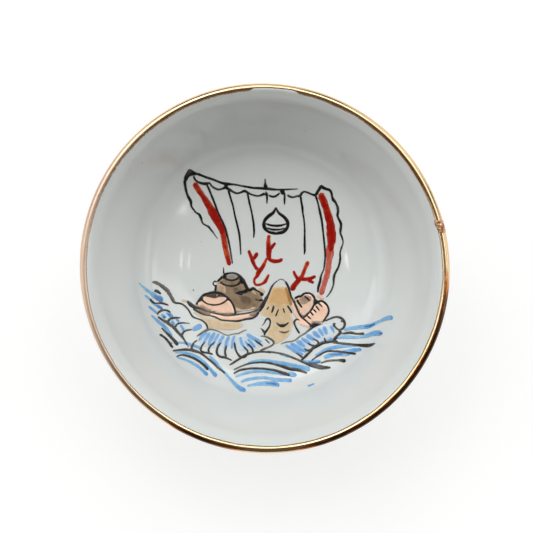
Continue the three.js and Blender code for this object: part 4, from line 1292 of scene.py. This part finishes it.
black_lines("gold_shell_right_line_work", "gold_shell_right_lines", [
    [5, -5.1, .45, 5.6, -4.75, .4, 6.2, -4.6, .35, 6.6, -4.25, .4, 7.3, -4.15, .35, 7.9, -4.4, .35,
     8.3, -4.9, .4, 8.4, -5.5, .35, 8.2, -6.2, .35, 7.9, -6.8, .35, 7.5, -7.3, .3, 7, -7.8, .35,
     6.5, -8.2, .3, 6.1, -8.1, .25, 5.6, -7.2, .25, 5.3, -6.2, .2, 4.9, -5.4, .3],
    [5.4, -5.2, .4, 5.8, -5.9, .4, 6.3, -6.6, .25],
    [6.6, -4.6, .25, 7.1, -5, .3, 7.6, -5.5, .25],
    [8.9, -5.5, .35, 9.6, -5.5, .35, 10.2, -5.9, .35, 10.6, -6.5, .35, 10.7, -7.2, .35, 10.5, -7.8, .35,
     10.2, -8.2, .3, 9.9, -8.7, .3, 9.6, -9.1, .2],
    [8.9, -5.8, .3, 9.2, -6, .28, 9.7, -6.5, .2],
    [8.5, -6.2, .35, 8.8, -6.6, .28, 9.2, -7.1, .2],
    [8.1, -6.8, .3, 8.7, -7.4, .22],
    [7.6, -7.2, .35, 8.2, -7.9, .25],
    [7.1, -7.9, .3, 7.8, -8.5, .25],
    [6.4, -8.2, .3, 7, -8.8, .28, 7.6, -9.4, .25, 8, -9.8, .25],
], blots=[
    [8.3, -4.9, 8.8, -5.3, 9.3, -5.6, 8.8, -6, 8.3, -6.3, 8.1, -5.9],
    [7.5, -9.7, 7.9, -9.2, 8.4, -9, 9, -9.15, 9.6, -9.3, 8.9, -9.6, 8.1, -10],
])

# %% Cone and hull: the lines
sea_lines("tan_cone_line_work", "tan_cone_lines", [
    [2.3, -2.05, .15, 1.7, -2.5, .25, 1.2, -3.2, .35, .9, -3.9, .35, .6, -4.6, .4, .3, -5.3, .45,
     0, -6, .4, -.4, -6.6, .5, -.9, -7.3, .5],
    [3.4, -2.1, .25, 3.8, -2.7, .4, 4.1, -3.4, .4, 4.3, -4.1, .35, 4.5, -4.8, .3, 4.8, -5.4, .3,
     5.2, -6.3, .3, 5.6, -7.2, .3, 6.1, -8, .4, 6.6, -8.5, .3, 7.3, -9.1, .3, 7.7, -9.4, .3],
    [.8, -6.4, .25, .4, -7, .2],
    [1.6, -6.2, .25, 1.4, -7, .35, 1.2, -7.5, .25],
    [2.4, -6.8, .2, 2.1, -7.5, .28, 1.9, -8.1, .25],
    [3.1, -6.6, .22, 3.4, -7.5, .22],
    [3.8, -6.2, .3, 4.3, -6.9, .35, 4.6, -7.5, .3],
    [2, -9, .2, 2.4, -9.45, .4, 3, -9.6, .6, 3.6, -9.4, .4, 4.1, -9, .2],
    [5.9, -8.7, .2, 5.4, -8.5, .3, 5, -8.9, .35, 5.1, -9.5, .3, 5.5, -10.3, .35, 5.9, -10.9, .3],
    [-.4, -9.7, .12, 0, -9.2, .2, .3, -8.6, .3, .7, -8.45, .35, 1, -8.8, .3, .9, -9.6, .3, .5, -10.3, .35,
     .1, -10.8, .4, 0, -11.3, .3],
    [-.7, -10.1, .15, -.3, -10.3, .3, 0, -10.8, .55],
])
lay("cone_thin_lines", GREY_LINE, "black_enamel", [], LINES, [
    [2.2, -2.1, .2, 2.8, -1.85, .14, 3.4, -2.1, .2],
    [2.4, -10.5, .15, 3, -10.7, .3, 3.6, -10.7, .3, 4.2, -10.4, .15],
])
sea_lines("hull_line_work", "hull_lines", [
    [-13, -5.5, .5, -12.4, -6.1, .65, -11.8, -6.5, .6, -11, -6.7, .35, -10, -7.1, .3, -8.8, -7.5, .28,
     -7, -7.9, .28, -5.9, -8, .3, -4.8, -7.8, .3, -3, -7.6, .3, -1.9, -7.3, .3, -1, -6.9, .45,
     -.4, -6.2, .5, .1, -5.3, .45, .4, -4.7, .4],
    [-12, -6.8, .35, -11.2, -7.3, .35, -10.2, -7.8, .3, -9.2, -8, .2, -8.3, -8.2, .25, -7.3, -8.7, .28,
     -6, -8.85, .3, -4.5, -8.9, .35, -3.2, -8.6, .35, -2, -8.4, .35, -1.3, -7.9, .4, -.9, -7.3, .45],
])
lay("pink_dots", PEACH_GOLD, "shell_gold", [], dict(LINES, base=0.075), [
    [-8.05, -4.55, .4, -7.85, -4.6, .4],
    [9.65, -9.05, .4, 9.8, -9.05, .4],
])
print("ship painted:", len(DRESSED), "pieces so far")

# %% [markdown]
# ## The waves
#
# The hull rides on breaking waves. The crest on the left curls over in claws of foam, and its top
# line is thin and pale, because the brush was nearly dry. Petals of light blue fill the foam.

# %% The head and the curl on the left
sea_lines("wave_curl_left_line_work", "wave_curl_left", [
    [-17.9, -7.9, .25, -17.8, -7.5, .35, -17.3, -7.15, .4, -16.7, -7.05, .35, -16.1, -7.2, .3,
     -15.7, -7.5, .25],
    [-17.9, -8.1, .3, -17.4, -8.5, .35, -16.8, -8.9, .45, -16.3, -9.1, .55, -15.9, -9.5, .5,
     -15.4, -9.8, .5, -15, -10.2, .5, -14.6, -10.7, .45, -14.2, -11.1, .45, -13.9, -11.4, .5,
     -13.5, -12, .35, -13.1, -12.7, .3, -12.9, -13, .25],
    [-16.2, -9, .5, -15.9, -8.6, .45, -15.5, -8.4, .45, -15, -8.35, .4, -14.4, -8.35, .25,
     -14, -8.35, .15],
    [-15, -10, .45, -14.8, -9.6, .35, -14.4, -9.3, .35, -13.8, -9.2, .3, -13.1, -9.25, .2,
     -12.5, -9.3, .12],
    [-13.9, -11.3, .4, -13.6, -10.8, .35, -13.2, -10.5, .3, -12.7, -10.4, .3, -12.1, -10.35, .15],
])
lay("wave_head_dry_line", GREY_LINE, "black_enamel", [], LINES, [
    [-18.8, -2.35, .3, -18.2, -2.4, .5, -17.5, -2.75, .6, -16.9, -3.2, .65, -16.3, -3.7, .65,
     -15.9, -4.3, .6, -15.5, -5, .55, -15.2, -5.6, .5, -14.9, -5.85, .4],
], ragged=NEARLY_DRY)
sea_lines("wave_crest_left_line_work", "wave_crest_left", [
    [-15.1, -5.75, .35, -14.9, -5.85, .35, -14.3, -5.9, .3, -13.7, -6.1, .3, -13.1, -6.6, .3,
     -12.7, -7.1, .3, -12.3, -7.8, .3, -12, -8.2, .3, -11.3, -8.5, .25, -10.7, -8.7, .25, -10.1, -9.1, .3,
     -9.7, -9.6, .3, -9.5, -10.3, .35],
    [-19.2, -5.1, .3, -18.8, -5.6, .35, -18.3, -5.9, .3, -17.9, -5.9, .3, -17.3, -5.85, .35,
     -16.7, -6, .35, -16, -6.25, .2],
    [-11.2, -12.1, .2, -11.8, -12.5, .3, -12.1, -13, .4, -12.2, -13.5, .45, -11.9, -13.9, .4,
     -11, -14.1, .4],
    [-9.9, -12.4, .2, -10.3, -12.8, .3, -10.6, -13.3, .3, -10.7, -13.8, .35, -10.3, -14.1, .35,
     -9.3, -14.3, .35, -8.6, -14.5, .3],
    [-8.3, -12.4, .2, -8.8, -12.8, .3, -9.2, -13.3, .35, -9.4, -13.8, .35, -9.2, -14.2, .35],
    [-7.2, -12.5, .2, -7.6, -12.9, .35, -7.9, -13.5, .4, -8, -14.1, .4, -7.8, -14.6, .4, -7.3, -14.9, .4,
     -6.6, -15, .4, -6.1, -15.2, .3, -5.4, -15.5, .2],
    [-6.3, -12.9, .2, -6.5, -13.5, .35, -6.6, -14.1, .35, -6.5, -14.6, .35, -6.4, -15, .3],
    [-5, -12.4, .2, -4.95, -13, .35, -4.8, -13.7, .35, -4.5, -14.3, .35, -4.1, -14.8, .4,
     -3.7, -14.95, .4, -3.2, -14.8, .4, -2.8, -14.3, .35, -2.8, -13.9, .35, -3.1, -13.5, .3,
     -3.5, -13.1, .2],
    [-2.9, -12.6, .2, -2.4, -13, .35, -2, -13.5, .35, -1.9, -14, .35, -2.1, -14.2, .3],
    [-1.6, -12, .2, -1.2, -12.4, .3, -.7, -12.7, .35, -.2, -13.1, .2],
    [-5.9, -16.3, .2, -5.4, -16, .35, -4.8, -15.6, .4, -4, -15.1, .4, -3, -14.5, .4, -2, -14.2, .35,
     -.8, -14, .35, .2, -14, .3, 1.2, -14.1, .3],
])
lay("crest_left_thin_lines", GREY_LINE, "black_enamel", [], LINES, [
    [-11.4, -11.5, .2, -10.8, -11.1, .35, -10.2, -10.7, .35, -9.6, -10.4, .45, -9.2, -10.3, .35,
     -8.5, -10.4, .25, -7.8, -10.6, .2, -7.2, -10.9, .2, -6.6, -11.2, .2, -6, -11.3, .18, -5.3, -11.1, .2,
     -4.3, -10.95, .22, -3.6, -10.6, .2, -2.9, -10.35, .12],
    [-.7, -11.4, .15, 0, -11.4, .3, .8, -11.7, .35, 1.4, -12.1, .35, 1.6, -12.5, .35, 1.3, -12.9, .3,
     .7, -13.2, .3, -.2, -13.6, .35, -.8, -13.9, .3],
    [.1, -11.8, .2, .5, -12.2, .25, .9, -12.6, .2],
])

# %% The crest on the right
sea_lines("wave_crest_right_line_work", "wave_crest_right", [
    [10, -8.8, .3, 10.7, -8.5, .3, 11.4, -8.2, .35, 12.2, -8.1, .35, 12.9, -8.4, .45, 13.3, -9, .45,
     13.3, -9.6, .4, 12.9, -10.1, .35, 12.3, -10.2, .3, 11.8, -9.8, .35, 11.5, -9.3, .4, 11.9, -9.2, .2],
    [12.3, -10.2, .35, 12.6, -10.7, .5, 12.1, -11.2, .35, 11.8, -11.6, .55, 11.4, -12.1, .55],
    [9.9, -11.5, .2, 10.1, -12, .35, 10.2, -12.3, .35],
    [8, -11.7, .25, 8.8, -12.1, .3, 9, -12.5, .45, 8.6, -12.9, .4, 7.8, -12.8, .35, 7.1, -12.4, .2],
    [6.6, -13.3, .2, 7.2, -13.7, .4, 7.9, -13.5, .45, 8.1, -13, .4],
    [5.2, -14.1, .2, 5.9, -14.5, .3, 6.4, -14.9, .4, 6.9, -14.6, .45, 7.3, -14.1, .4],
    [6.1, -15.4, .4, 6.9, -14.6, .4, 7.5, -14, .4, 8.1, -13.3, .5, 8.8, -12.9, .55, 9.5, -12.5, .5,
     10.3, -12.3, .45, 11.4, -12.15, .45, 12.2, -12.2, .3],
])
lay("crest_right_thin_lines", GREY_LINE, "black_enamel", [], LINES, [
    [2.7, -12.7, .15, 3.4, -12.4, .25, 4.4, -12.2, .25, 5.1, -12, .25, 6, -11.3, .3, 6.8, -10.8, .3,
     7.4, -10.3, .35, 8, -9.8, .5],
    [12.8, -8.6, .4, 12.9, -9, .4],
])

# %% Pale foam and its petals
lay("pale_foam", PALE_BLUE, "blue_enamel", [], WASHES, washes=[
    [-11.2, -12, -10.4, -11.2, -9.2, -10.8, -8, -11, -6.6, -11.5, -5, -11.4, -3.5, -11.2, -2.4, -10.9,
     -.9, -11.5, -.2, -12.3, -.8, -13.2, -2.2, -13.8, -3.2, -13.9, -5.2, -13.6, -7, -13.6, -8.8, -13.4,
     -10.6, -13.1],
    [3, -12.8, 4.6, -12.4, 5.6, -11.9, 6.8, -11, 8, -10.2, 9.4, -9.5, 10.6, -9.2, 11.4, -9.8, 11.6, -10.9,
     10.4, -11.8, 8.8, -12.6, 7.6, -13.6, 6.2, -14.4, 4.6, -13.9],
    [-17.6, -7.8, -17, -7.3, -15.8, -7.5, -14.8, -8.4, -13.6, -9.3, -12.6, -9.6, -12.4, -10.3,
     -13.6, -10.8, -14.6, -10.3, -15.6, -9.4, -16.8, -8.6],
])
lay("foam_petals_left", PERIWINKLE, "blue_enamel", [], COLOURS, [
    [-9.6, -10.7, .5, -10.4, -11.4, .6, -11, -12.2, .4],
    [-9.1, -10.8, .45, -9.7, -11.7, .55, -10.3, -12.7, .3],
    [-8.3, -10.8, .5, -8.9, -11.8, .65, -9.4, -13, .35],
    [-7.6, -11, .4, -8.2, -12, .5, -8.7, -13.1, .3],
    [-6.8, -11.3, .5, -7.4, -12.3, .6, -7.9, -13.3, .35],
    [-5.9, -11.4, .5, -6.3, -12.4, .6, -6.6, -13.5, .35],
    [-5, -11.3, .45, -5.3, -12.4, .5, -5.5, -13.6, .3],
    [-4, -11.5, .4, -3.8, -12.6, .45, -3.1, -13.7, .35],
    [-3, -11, .5, -2.1, -11.6, .7, -1.1, -12.1, .6, -.4, -12.4, .3],
    [-2.8, -11.8, .4, -2.1, -12.6, .5, -1.5, -13.3, .4],
    [-3.2, -12.2, .3, -2.6, -13.2, .4],
    [-12.1, -10.5, .6, -11.3, -10, .95, -10.5, -9.6, .8],
    [-14.1, -9.5, .4, -13.5, -10.5, .45],
])
lay("foam_petals_right", PERIWINKLE, "blue_enamel", [], COLOURS, [
    [3.5, -12.8, .45, 4.6, -13.4, .65, 5.6, -14, .7, 6.5, -14.4, .4],
    [4.3, -12.5, .45, 5.2, -13, .7, 6.1, -13.5, .7, 7, -13.9, .4],
    [5.3, -12.1, .5, 6, -12.5, .8, 6.8, -13.1, .5],
    [6.1, -11.6, .4, 6.9, -12.1, .6, 7.7, -12.5, .4],
    [6.9, -11, .5, 7.6, -11.5, .75, 8.4, -11.9, .45],
    [8, -10.5, .45, 8.6, -11, .7, 9.3, -11.6, .4],
    [8.9, -10, .4, 9.4, -10.6, .6, 9.8, -11.3, .35],
    [9.8, -9.6, .45, 10.1, -10.3, .7, 10.4, -11, .4],
    [10.9, -9.5, .4, 11.3, -10.1, .5, 11.6, -10.8, .3],
])
lay("deep_blue_touches", DEEP_BLUE, "blue_enamel", [], dict(COLOURS, base=0.045), [
    [-18.6, -4.5, .3, -18, -4.95, .7, -17.4, -5.25, .8, -17.05, -5.5, .4],
    [-18.2, -6.2, .25, -17.6, -6.55, .45, -17.1, -6.8, .35],
    [18.9, -10.75, .3, 19.5, -10.75, .55],
    [16.5, -9.75, .3, 17.5, -9.6, .4, 18.4, -9.2, .3],
    [10.7, -14.35, .25, 12, -14.3, .35, 13, -14.3, .3],
    [7.2, -15.6, .25, 8.6, -15.65, .4, 9.3, -15.5, .4],
    [.2, -19.25, .3, 1.4, -19.3, .45, 2.1, -19.45, .35],
    [-17.1, -8, .3, -16.6, -8.35, .4],
    [-16.2, -7.6, .25, -15.7, -7.95, .4],
], ragged=DRY)
lay("blue_in_the_curl", BLUE, "blue_enamel", [], COLOURS, [
    [-17.3, -7.7, .5, -16.5, -8.4, .6],
    [-16.5, -7.4, .45, -15.9, -7.8, .65, -15.3, -8.2, .5],
    [-15.6, -8.8, .5, -15.1, -9.5, .5],
    [-14.9, -8.5, .3, -14.3, -9, .4],
    [10.4, -12.1, .35, 11.3, -11.6, .5],
    [9, -12.5, .3, 9.9, -12.1, .4],
    [12, -9.9, .2, 11.3, -9.5, .35],
    [-14.7, -12.5, .3, -13.2, -12.6, .45, -12.2, -12.9, .5, -11, -13.3, .5, -10.4, -13.5, .4],
    [-15.8, -12.6, .4, -15.4, -12.6, .4],
])

# %% [markdown]
# ### The open sea
#
# The open sea is quick single strokes, blue below and black above. Each is one touch of a brush
# that lands light and lifts loaded, so a stroke starts thin and pale and ends blunt and dark.

# %% The open sea: one brush stroke each
BLACK_WAVES = [
    [12.8, -10.9, .25, 14.2, -10.7, .45, 15.4, -10.9, .35, 16.6, -10.85, .5],
    [11.3, -12.3, .35, 13.9, -12.6, .4, 15.5, -12.75, .45, 17.1, -12.8, .6, 18.3, -12.4, .15],
    [7.8, -15.4, .25, 8.3, -15, .25, 9.2, -14.4, .3, 10.4, -13.8, .3, 11.9, -13.8, .35, 13.4, -14, .4,
     15.2, -14.2, .35],
    [9.3, -15.8, .3, 10.5, -15.4, .35, 11.9, -15.3, .35, 12.7, -15.3, .5, 13.5, -15.4, .8],
    [.4, -13.9, .3, 3, -14.3, .35, 5, -15, .35, 6.6, -15.7, .4, 7.8, -16.1, .65, 8.7, -16.3, .8,
     9.7, -16.5, .7, 11, -16.5, .3],
    [-5.15, -17.05, .25, -2.8, -16.05, .3, -.2, -15.75, .35, 2, -16.1, .4, 4.2, -16.75, .5,
     5.65, -16.95, .5, 7.15, -17.45, .3],
    [-5.15, -17.7, .35, -3.9, -17.05, .35, -1.3, -16.75, .35, 1.5, -17, .4, 3.2, -17.5, .5,
     4.3, -17.85, .45],
    [-15.4, -13.9, .3, -13.5, -13.7, .4, -12, -13.85, .5, -10.7, -14.3, .4, -9.6, -15.1, .4,
     -8.6, -15.9, .4, -7.8, -16.7, .4, -7, -17.3, .35, -6.6, -17.7, .3],
    [-14.8, -14.9, .25, -13.8, -14.6, .3, -12, -15.1, .4, -10.5, -16, .45, -9.4, -17.1, .5],
    [-17.3, -10, .25, -16.9, -10.4, .3, -16.3, -11, .4, -15.7, -11.6, .5, -15.2, -12.1, .55,
     -14.8, -12.6, .6, -14.5, -13, .45],
    [-17.6, -11.1, .4, -17.1, -11.4, .35, -16.5, -11.9, .4, -16, -12.5, .4, -15.6, -13.1, .45,
     -15.3, -13.4, .3],
    [-18.5, -3.9, .4, -18.1, -3.8, .5, -17.6, -4.1, .45, -17.3, -4.4, .25],
]
BLUE_WAVES = [
    [13.2, -10.3, .5, 14.2, -10, .6, 16, -9.8, .7, 17.5, -9.55, .7, 19.1, -8.8, .45, 20.2, -8.3, .65,
     21.2, -8.1, .8],
    [11.9, -11.6, .5, 13.4, -11.4, .6, 15.4, -11.5, .5, 17, -11.2, .6, 18.1, -10.8, .8, 19.4, -10.7, .9],
    [8.4, -14.5, .35, 10.2, -13.5, .5, 11.9, -13.1, .6, 13.8, -12.9, .5, 15.5, -12.8, .45],
    [9.9, -15, .5, 10.5, -14.6, .65, 11.9, -14.3, .65, 13.6, -14.3, .6, 14.4, -14, .4],
    [-2.8, -15.85, .35, -.7, -15.4, .4, 2.5, -15.75, .55, 5.8, -16.4, .7, 7.6, -16.85, .75],
    [-4.9, -18.2, .4, -2.8, -17.5, .5, -.7, -17.2, .5, 2.5, -17.5, .6, 5.4, -17.8, .75],
    [-4, -19.1, .4, -2.6, -18.6, .55, -.2, -18.3, .5, 2, -18.6, .6, 4.6, -18.7, .65],
    [-2.9, -19.7, .4, -.7, -19.3, .65, 1.5, -19.3, .8, 2.55, -19.6, .6],
    [-9.3, -14.7, .4, -8.6, -15.3, .5, -8, -16, .5, -7.4, -16.7, .5, -7, -17.2, .5, -6.4, -17.8, .45,
     -5.5, -18.8, .5, -4.6, -19.7, .7, -3.9, -20.2, .8, -3.1, -20.5, .6],
    [-15, -14.1, .35, -13, -14.3, .45, -11.2, -15, .5, -9.8, -16.2, .55, -8, -18.2, .65],
    [-14.7, -15, .3, -13, -15.5, .4, -11, -16.6, .5, -9.5, -18, .6],
    [-21, -2.4, .2, -20.1, -3.3, .45, -19.1, -4.1, .6, -18.2, -4.75, .85, -17.4, -5.2, .95,
     -17, -5.6, .6],
    [-20, -4.5, .35, -19.4, -5, .4, -18.9, -5.6, .4, -18.3, -6.1, .45, -17.6, -6.5, .55, -17, -6.9, .5],
    [-19.4, -6.3, .3, -18.9, -6.8, .45, -18.3, -7.3, .4, -17.9, -7.7, .3],
    [-19, -7.8, .25, -18.3, -8.5, .4, -17.6, -9.1, .55, -17, -9.6, .6, -16.3, -10.3, .5, -15.8, -11, .4,
     -15.5, -11.5, .25],
]
for i, numbers in enumerate(BLUE_WAVES, start=1):
    name, node = f"blue_sea_stroke_{i}", f"blue_wave_{i}"
    lay(name, BLUE, "blue_enamel", [node], COLOURS, [numbers], ragged=DRY)
for i, numbers in enumerate(BLACK_WAVES, start=1):
    sea_lines(f"black_sea_stroke_{i}", f"black_wave_{i}", [numbers])
lay("last_blue_touches", BLUE, "blue_enamel", [], COLOURS, [
    [7.15, -19.6, .4, 7.7, -19.4, .3, 8.3, -19.15, .25],
    [6.3, -15.4, .35, 7.8, -15.6, .55, 9.4, -15.5, .55],
    [13, -13.8, .4, 14.9, -13.6, .6, 16.1, -13.45, .5],
    [2.6, -14.4, .25, 4.2, -14.75, .4],
], ragged=DRY)

# %% Specks that the brush let fall
lay("black_speck", BLACK, "black_enamel", [], LINES, [[-12, -3.7, .36, -11.8, -3.7, .36]])
lay("red_specks", RED, "red_enamel", [], dict(LINES, base=0.07), [
    [-12.95, -13.2, .3, -12.7, -13.1, .35],
    [2.8, -17.35, .2, 3.2, -17.4, .2],
])
print("painted:", len(DRESSED), "pieces")

# %% [markdown]
# ## Fit the pieces to the frame
#
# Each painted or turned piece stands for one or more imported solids. It says which, what finish it
# takes, and which body it rides on. A cup has no moving part, so there is one body.

# %% Ride and replace
for piece, slot, nodes in DRESSED:
    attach(piece, "root")
    if nodes:
        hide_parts(*nodes)

# %% [markdown]
# ## The table and the light
#
# The cup was lit by broad soft lamps: three high ones beyond the top of the picture and five low
# ones from side to side, with nothing near the viewer. That leaves the wall at the top in shade, the
# wall at the bottom bright, and gives the gold its dark line, where it mirrors the unlit space
# above. The table is white.

# %% Table
TABLE_HALF = 3.0


def white_table():
    material, tree = blank("white_table")
    path = add(tree, "ShaderNodeLightPath")
    direct = add(tree, "ShaderNodeMath", {
        0: path.outputs["Is Camera Ray"], 1: path.outputs["Is Transmission Ray"],
    }, operation="MAXIMUM")
    seen = add(tree, "ShaderNodeMath", {
        0: direct.outputs[0], 1: path.outputs["Is Glossy Ray"],
    }, operation="MAXIMUM")
    plain = add(tree, "ShaderNodeBsdfDiffuse", {"Color": linear("#e6e6e6")})
    dim = add(tree, "ShaderNodeBsdfDiffuse", {"Color": linear("#a8a8a8")})
    glow = add(tree, "ShaderNodeEmission", {"Color": linear("#ffffff"), "Strength": 0.72})
    bright = add(tree, "ShaderNodeAddShader", {0: dim.outputs[0], 1: glow.outputs[0]})
    mix = add(tree, "ShaderNodeMixShader", {
        0: seen.outputs[0], 1: plain.outputs[0], 2: bright.outputs[0],
    })
    finish_surface(tree, mix)
    return material


table_mesh = bpy.data.meshes.new("table")
table_corners = [(x * TABLE_HALF, y * TABLE_HALF, 0) for x, y in ((-1, -1), (1, -1), (1, 1), (-1, 1))]
table_mesh.from_pydata(table_corners, [], [(0, 1, 2, 3)])
table_mesh.materials.append(white_table())
table = bpy.data.objects.new("table", table_mesh)
bpy.context.scene.collection.objects.link(table)
print("the table is", 2 * TABLE_HALF, "m wide")

# %% World: white to the camera, dim to everything else
DIM, SHOWN_WHITE = 0.115, 1.6
world = bpy.data.worlds.new("dim_studio")
bpy.context.scene.world = world
world.use_nodes = True
world.node_tree.nodes.clear()
sky = world.node_tree
path = add(sky, "ShaderNodeLightPath")
shown = add(sky, "ShaderNodeMath", {
    0: path.outputs["Is Camera Ray"], 1: path.outputs["Is Transmission Ray"],
}, operation="MAXIMUM")
strength = add(sky, "ShaderNodeMapRange", {
    "Value": shown.outputs[0], "To Min": DIM, "To Max": SHOWN_WHITE,
})
backdrop = add(sky, "ShaderNodeBackground", {
    "Color": linear("#fff2dc"), "Strength": strength.outputs["Result"],
})
add(sky, "ShaderNodeOutputWorld", {"Surface": backdrop.outputs[0]})
print("the world lights the cup at", DIM, "of white")

# %% Lamps
LAMP_DISTANCE = 1.5
LAMP_COLOUR = (0.965, 1.0, 1.0)


def lamp(name, azimuth, elevation, level, size, width=None):
    """A soft lamp, round or as narrow as its width. It lights a facing white card to a level,
    where 1 is white."""
    data = bpy.data.lights.new(name, "AREA")
    data.shape = "ELLIPSE"
    data.size = size
    data.size_y = width or size
    data.energy = level * math.pi ** 2 * LAMP_DISTANCE ** 2
    data.color = LAMP_COLOUR
    light = bpy.data.objects.new(name, data)
    angle, rise = math.radians(azimuth), math.radians(elevation)
    direction = Vector((
        math.cos(angle) * math.cos(rise), math.sin(angle) * math.cos(rise), math.sin(rise),
    ))
    light.location = direction * LAMP_DISTANCE
    light.rotation_euler = direction.to_track_quat("Z", "Y").to_euler()
    light.visible_camera = False
    bpy.context.scene.collection.objects.link(light)


LAMPS = [
    ("top_lamp", 90, 54, 0.235, 1.05),
    ("top_right_lamp", 33, 60, 0.19, 1.0),
    ("top_left_lamp", 138, 55, 0.29, 1.17),
    ("low_right_lamp", 0, 22, 0.13, 0.95),
    ("low_top_right_lamp", 45, 22, 0.11, 0.95),
    ("low_top_lamp", 90, 24, 0.035, 0.65),
    ("low_top_left_lamp", 135, 24, 0.07, 0.75),
    ("low_left_lamp", 184, 26, 0.155, 1.12),
]
for settings in LAMPS:
    lamp(*settings)
print("lamps:", len(LAMPS))

# %% [markdown]
# ### Glints in the glaze
#
# The glaze on the floor is a mirror, and faint bright streaks lie in it where it shows narrow lights
# of the room. They could be painted on, but then they would stay in place when the view moves. So
# five thin slits of light hang high above the cup, and each mirrors in the floor as one streak.

# %% Slits of light that glint in the glaze
GLINTS = [
    ("slanted_slit", -36, 75.7, 0.058, 0.005, 16),
    ("left_slit", -4.6, 77.2, 0.074, 0.009, 9),
    ("second_left_slit", -4, 79.0, 0.066, 0.007, 7),
    ("right_slit", 186.5, 77.7, 0.064, 0.012, 8),
    ("low_right_slit", 153, 76.1, 0.042, 0.009, 8),
]
for name, azimuth, elevation, length, width, brightness in GLINTS:
    level = brightness * length * width / (2 * LAMP_DISTANCE) ** 2
    lamp(name, azimuth, elevation, level, length, width)
print("slits:", len(GLINTS))

# %% [markdown]
# ## The camera
#
# The picture was taken from straight above with a long lens, so the cup's wall shows as a ring. The
# camera is 600 mm above the lip, and its field is set by how large the mouth is in the picture. The
# floor shows a little off the mouth's middle, because the camera stood about 3 mm aside of the axis.
# Its lens is shifted by as much, so that it still looks straight down.

# %% Camera above the cup
PICTURE_WIDTH = 533
MOUTH_RADIUS_IN_PICTURE = 185.06
CUP_CENTRE_IN_PICTURE = (264.2, 268.1)
LENS, SENSOR = 250, 36
ASIDE = (-2.9, 1.2)
field = PICTURE_WIDTH / MOUTH_RADIUS_IN_PICTURE * MOUTH_RADIUS
height_above_lip = field * LENS / SENSOR
floor_field = field * (height_above_lip + CUP_HEIGHT - FLOOR_HEIGHT) / height_above_lip
pixel = field / PICTURE_WIDTH
off_x = (PICTURE_WIDTH / 2 - CUP_CENTRE_IN_PICTURE[0]) * pixel
off_y = (CUP_CENTRE_IN_PICTURE[1] - PICTURE_WIDTH / 2) * pixel
camera_data = bpy.data.cameras.new("overhead_camera")
camera_data.lens = LENS
camera_data.sensor_width = SENSOR
camera_data.clip_end = 20
camera_data.shift_x = -ASIDE[0] / floor_field
camera_data.shift_y = -ASIDE[1] / floor_field
camera = bpy.data.objects.new("overhead_camera", camera_data)
camera.location = (
    (off_x + ASIDE[0]) * MM, (off_y + ASIDE[1]) * MM, (CUP_HEIGHT + height_above_lip) * MM,
)
bpy.context.scene.collection.objects.link(camera)
bpy.context.scene.camera = camera
bpy.context.scene.view_settings.view_transform = "Standard"
print("camera above the lip:", round(height_above_lip), "mm; field", round(field, 1), "mm")
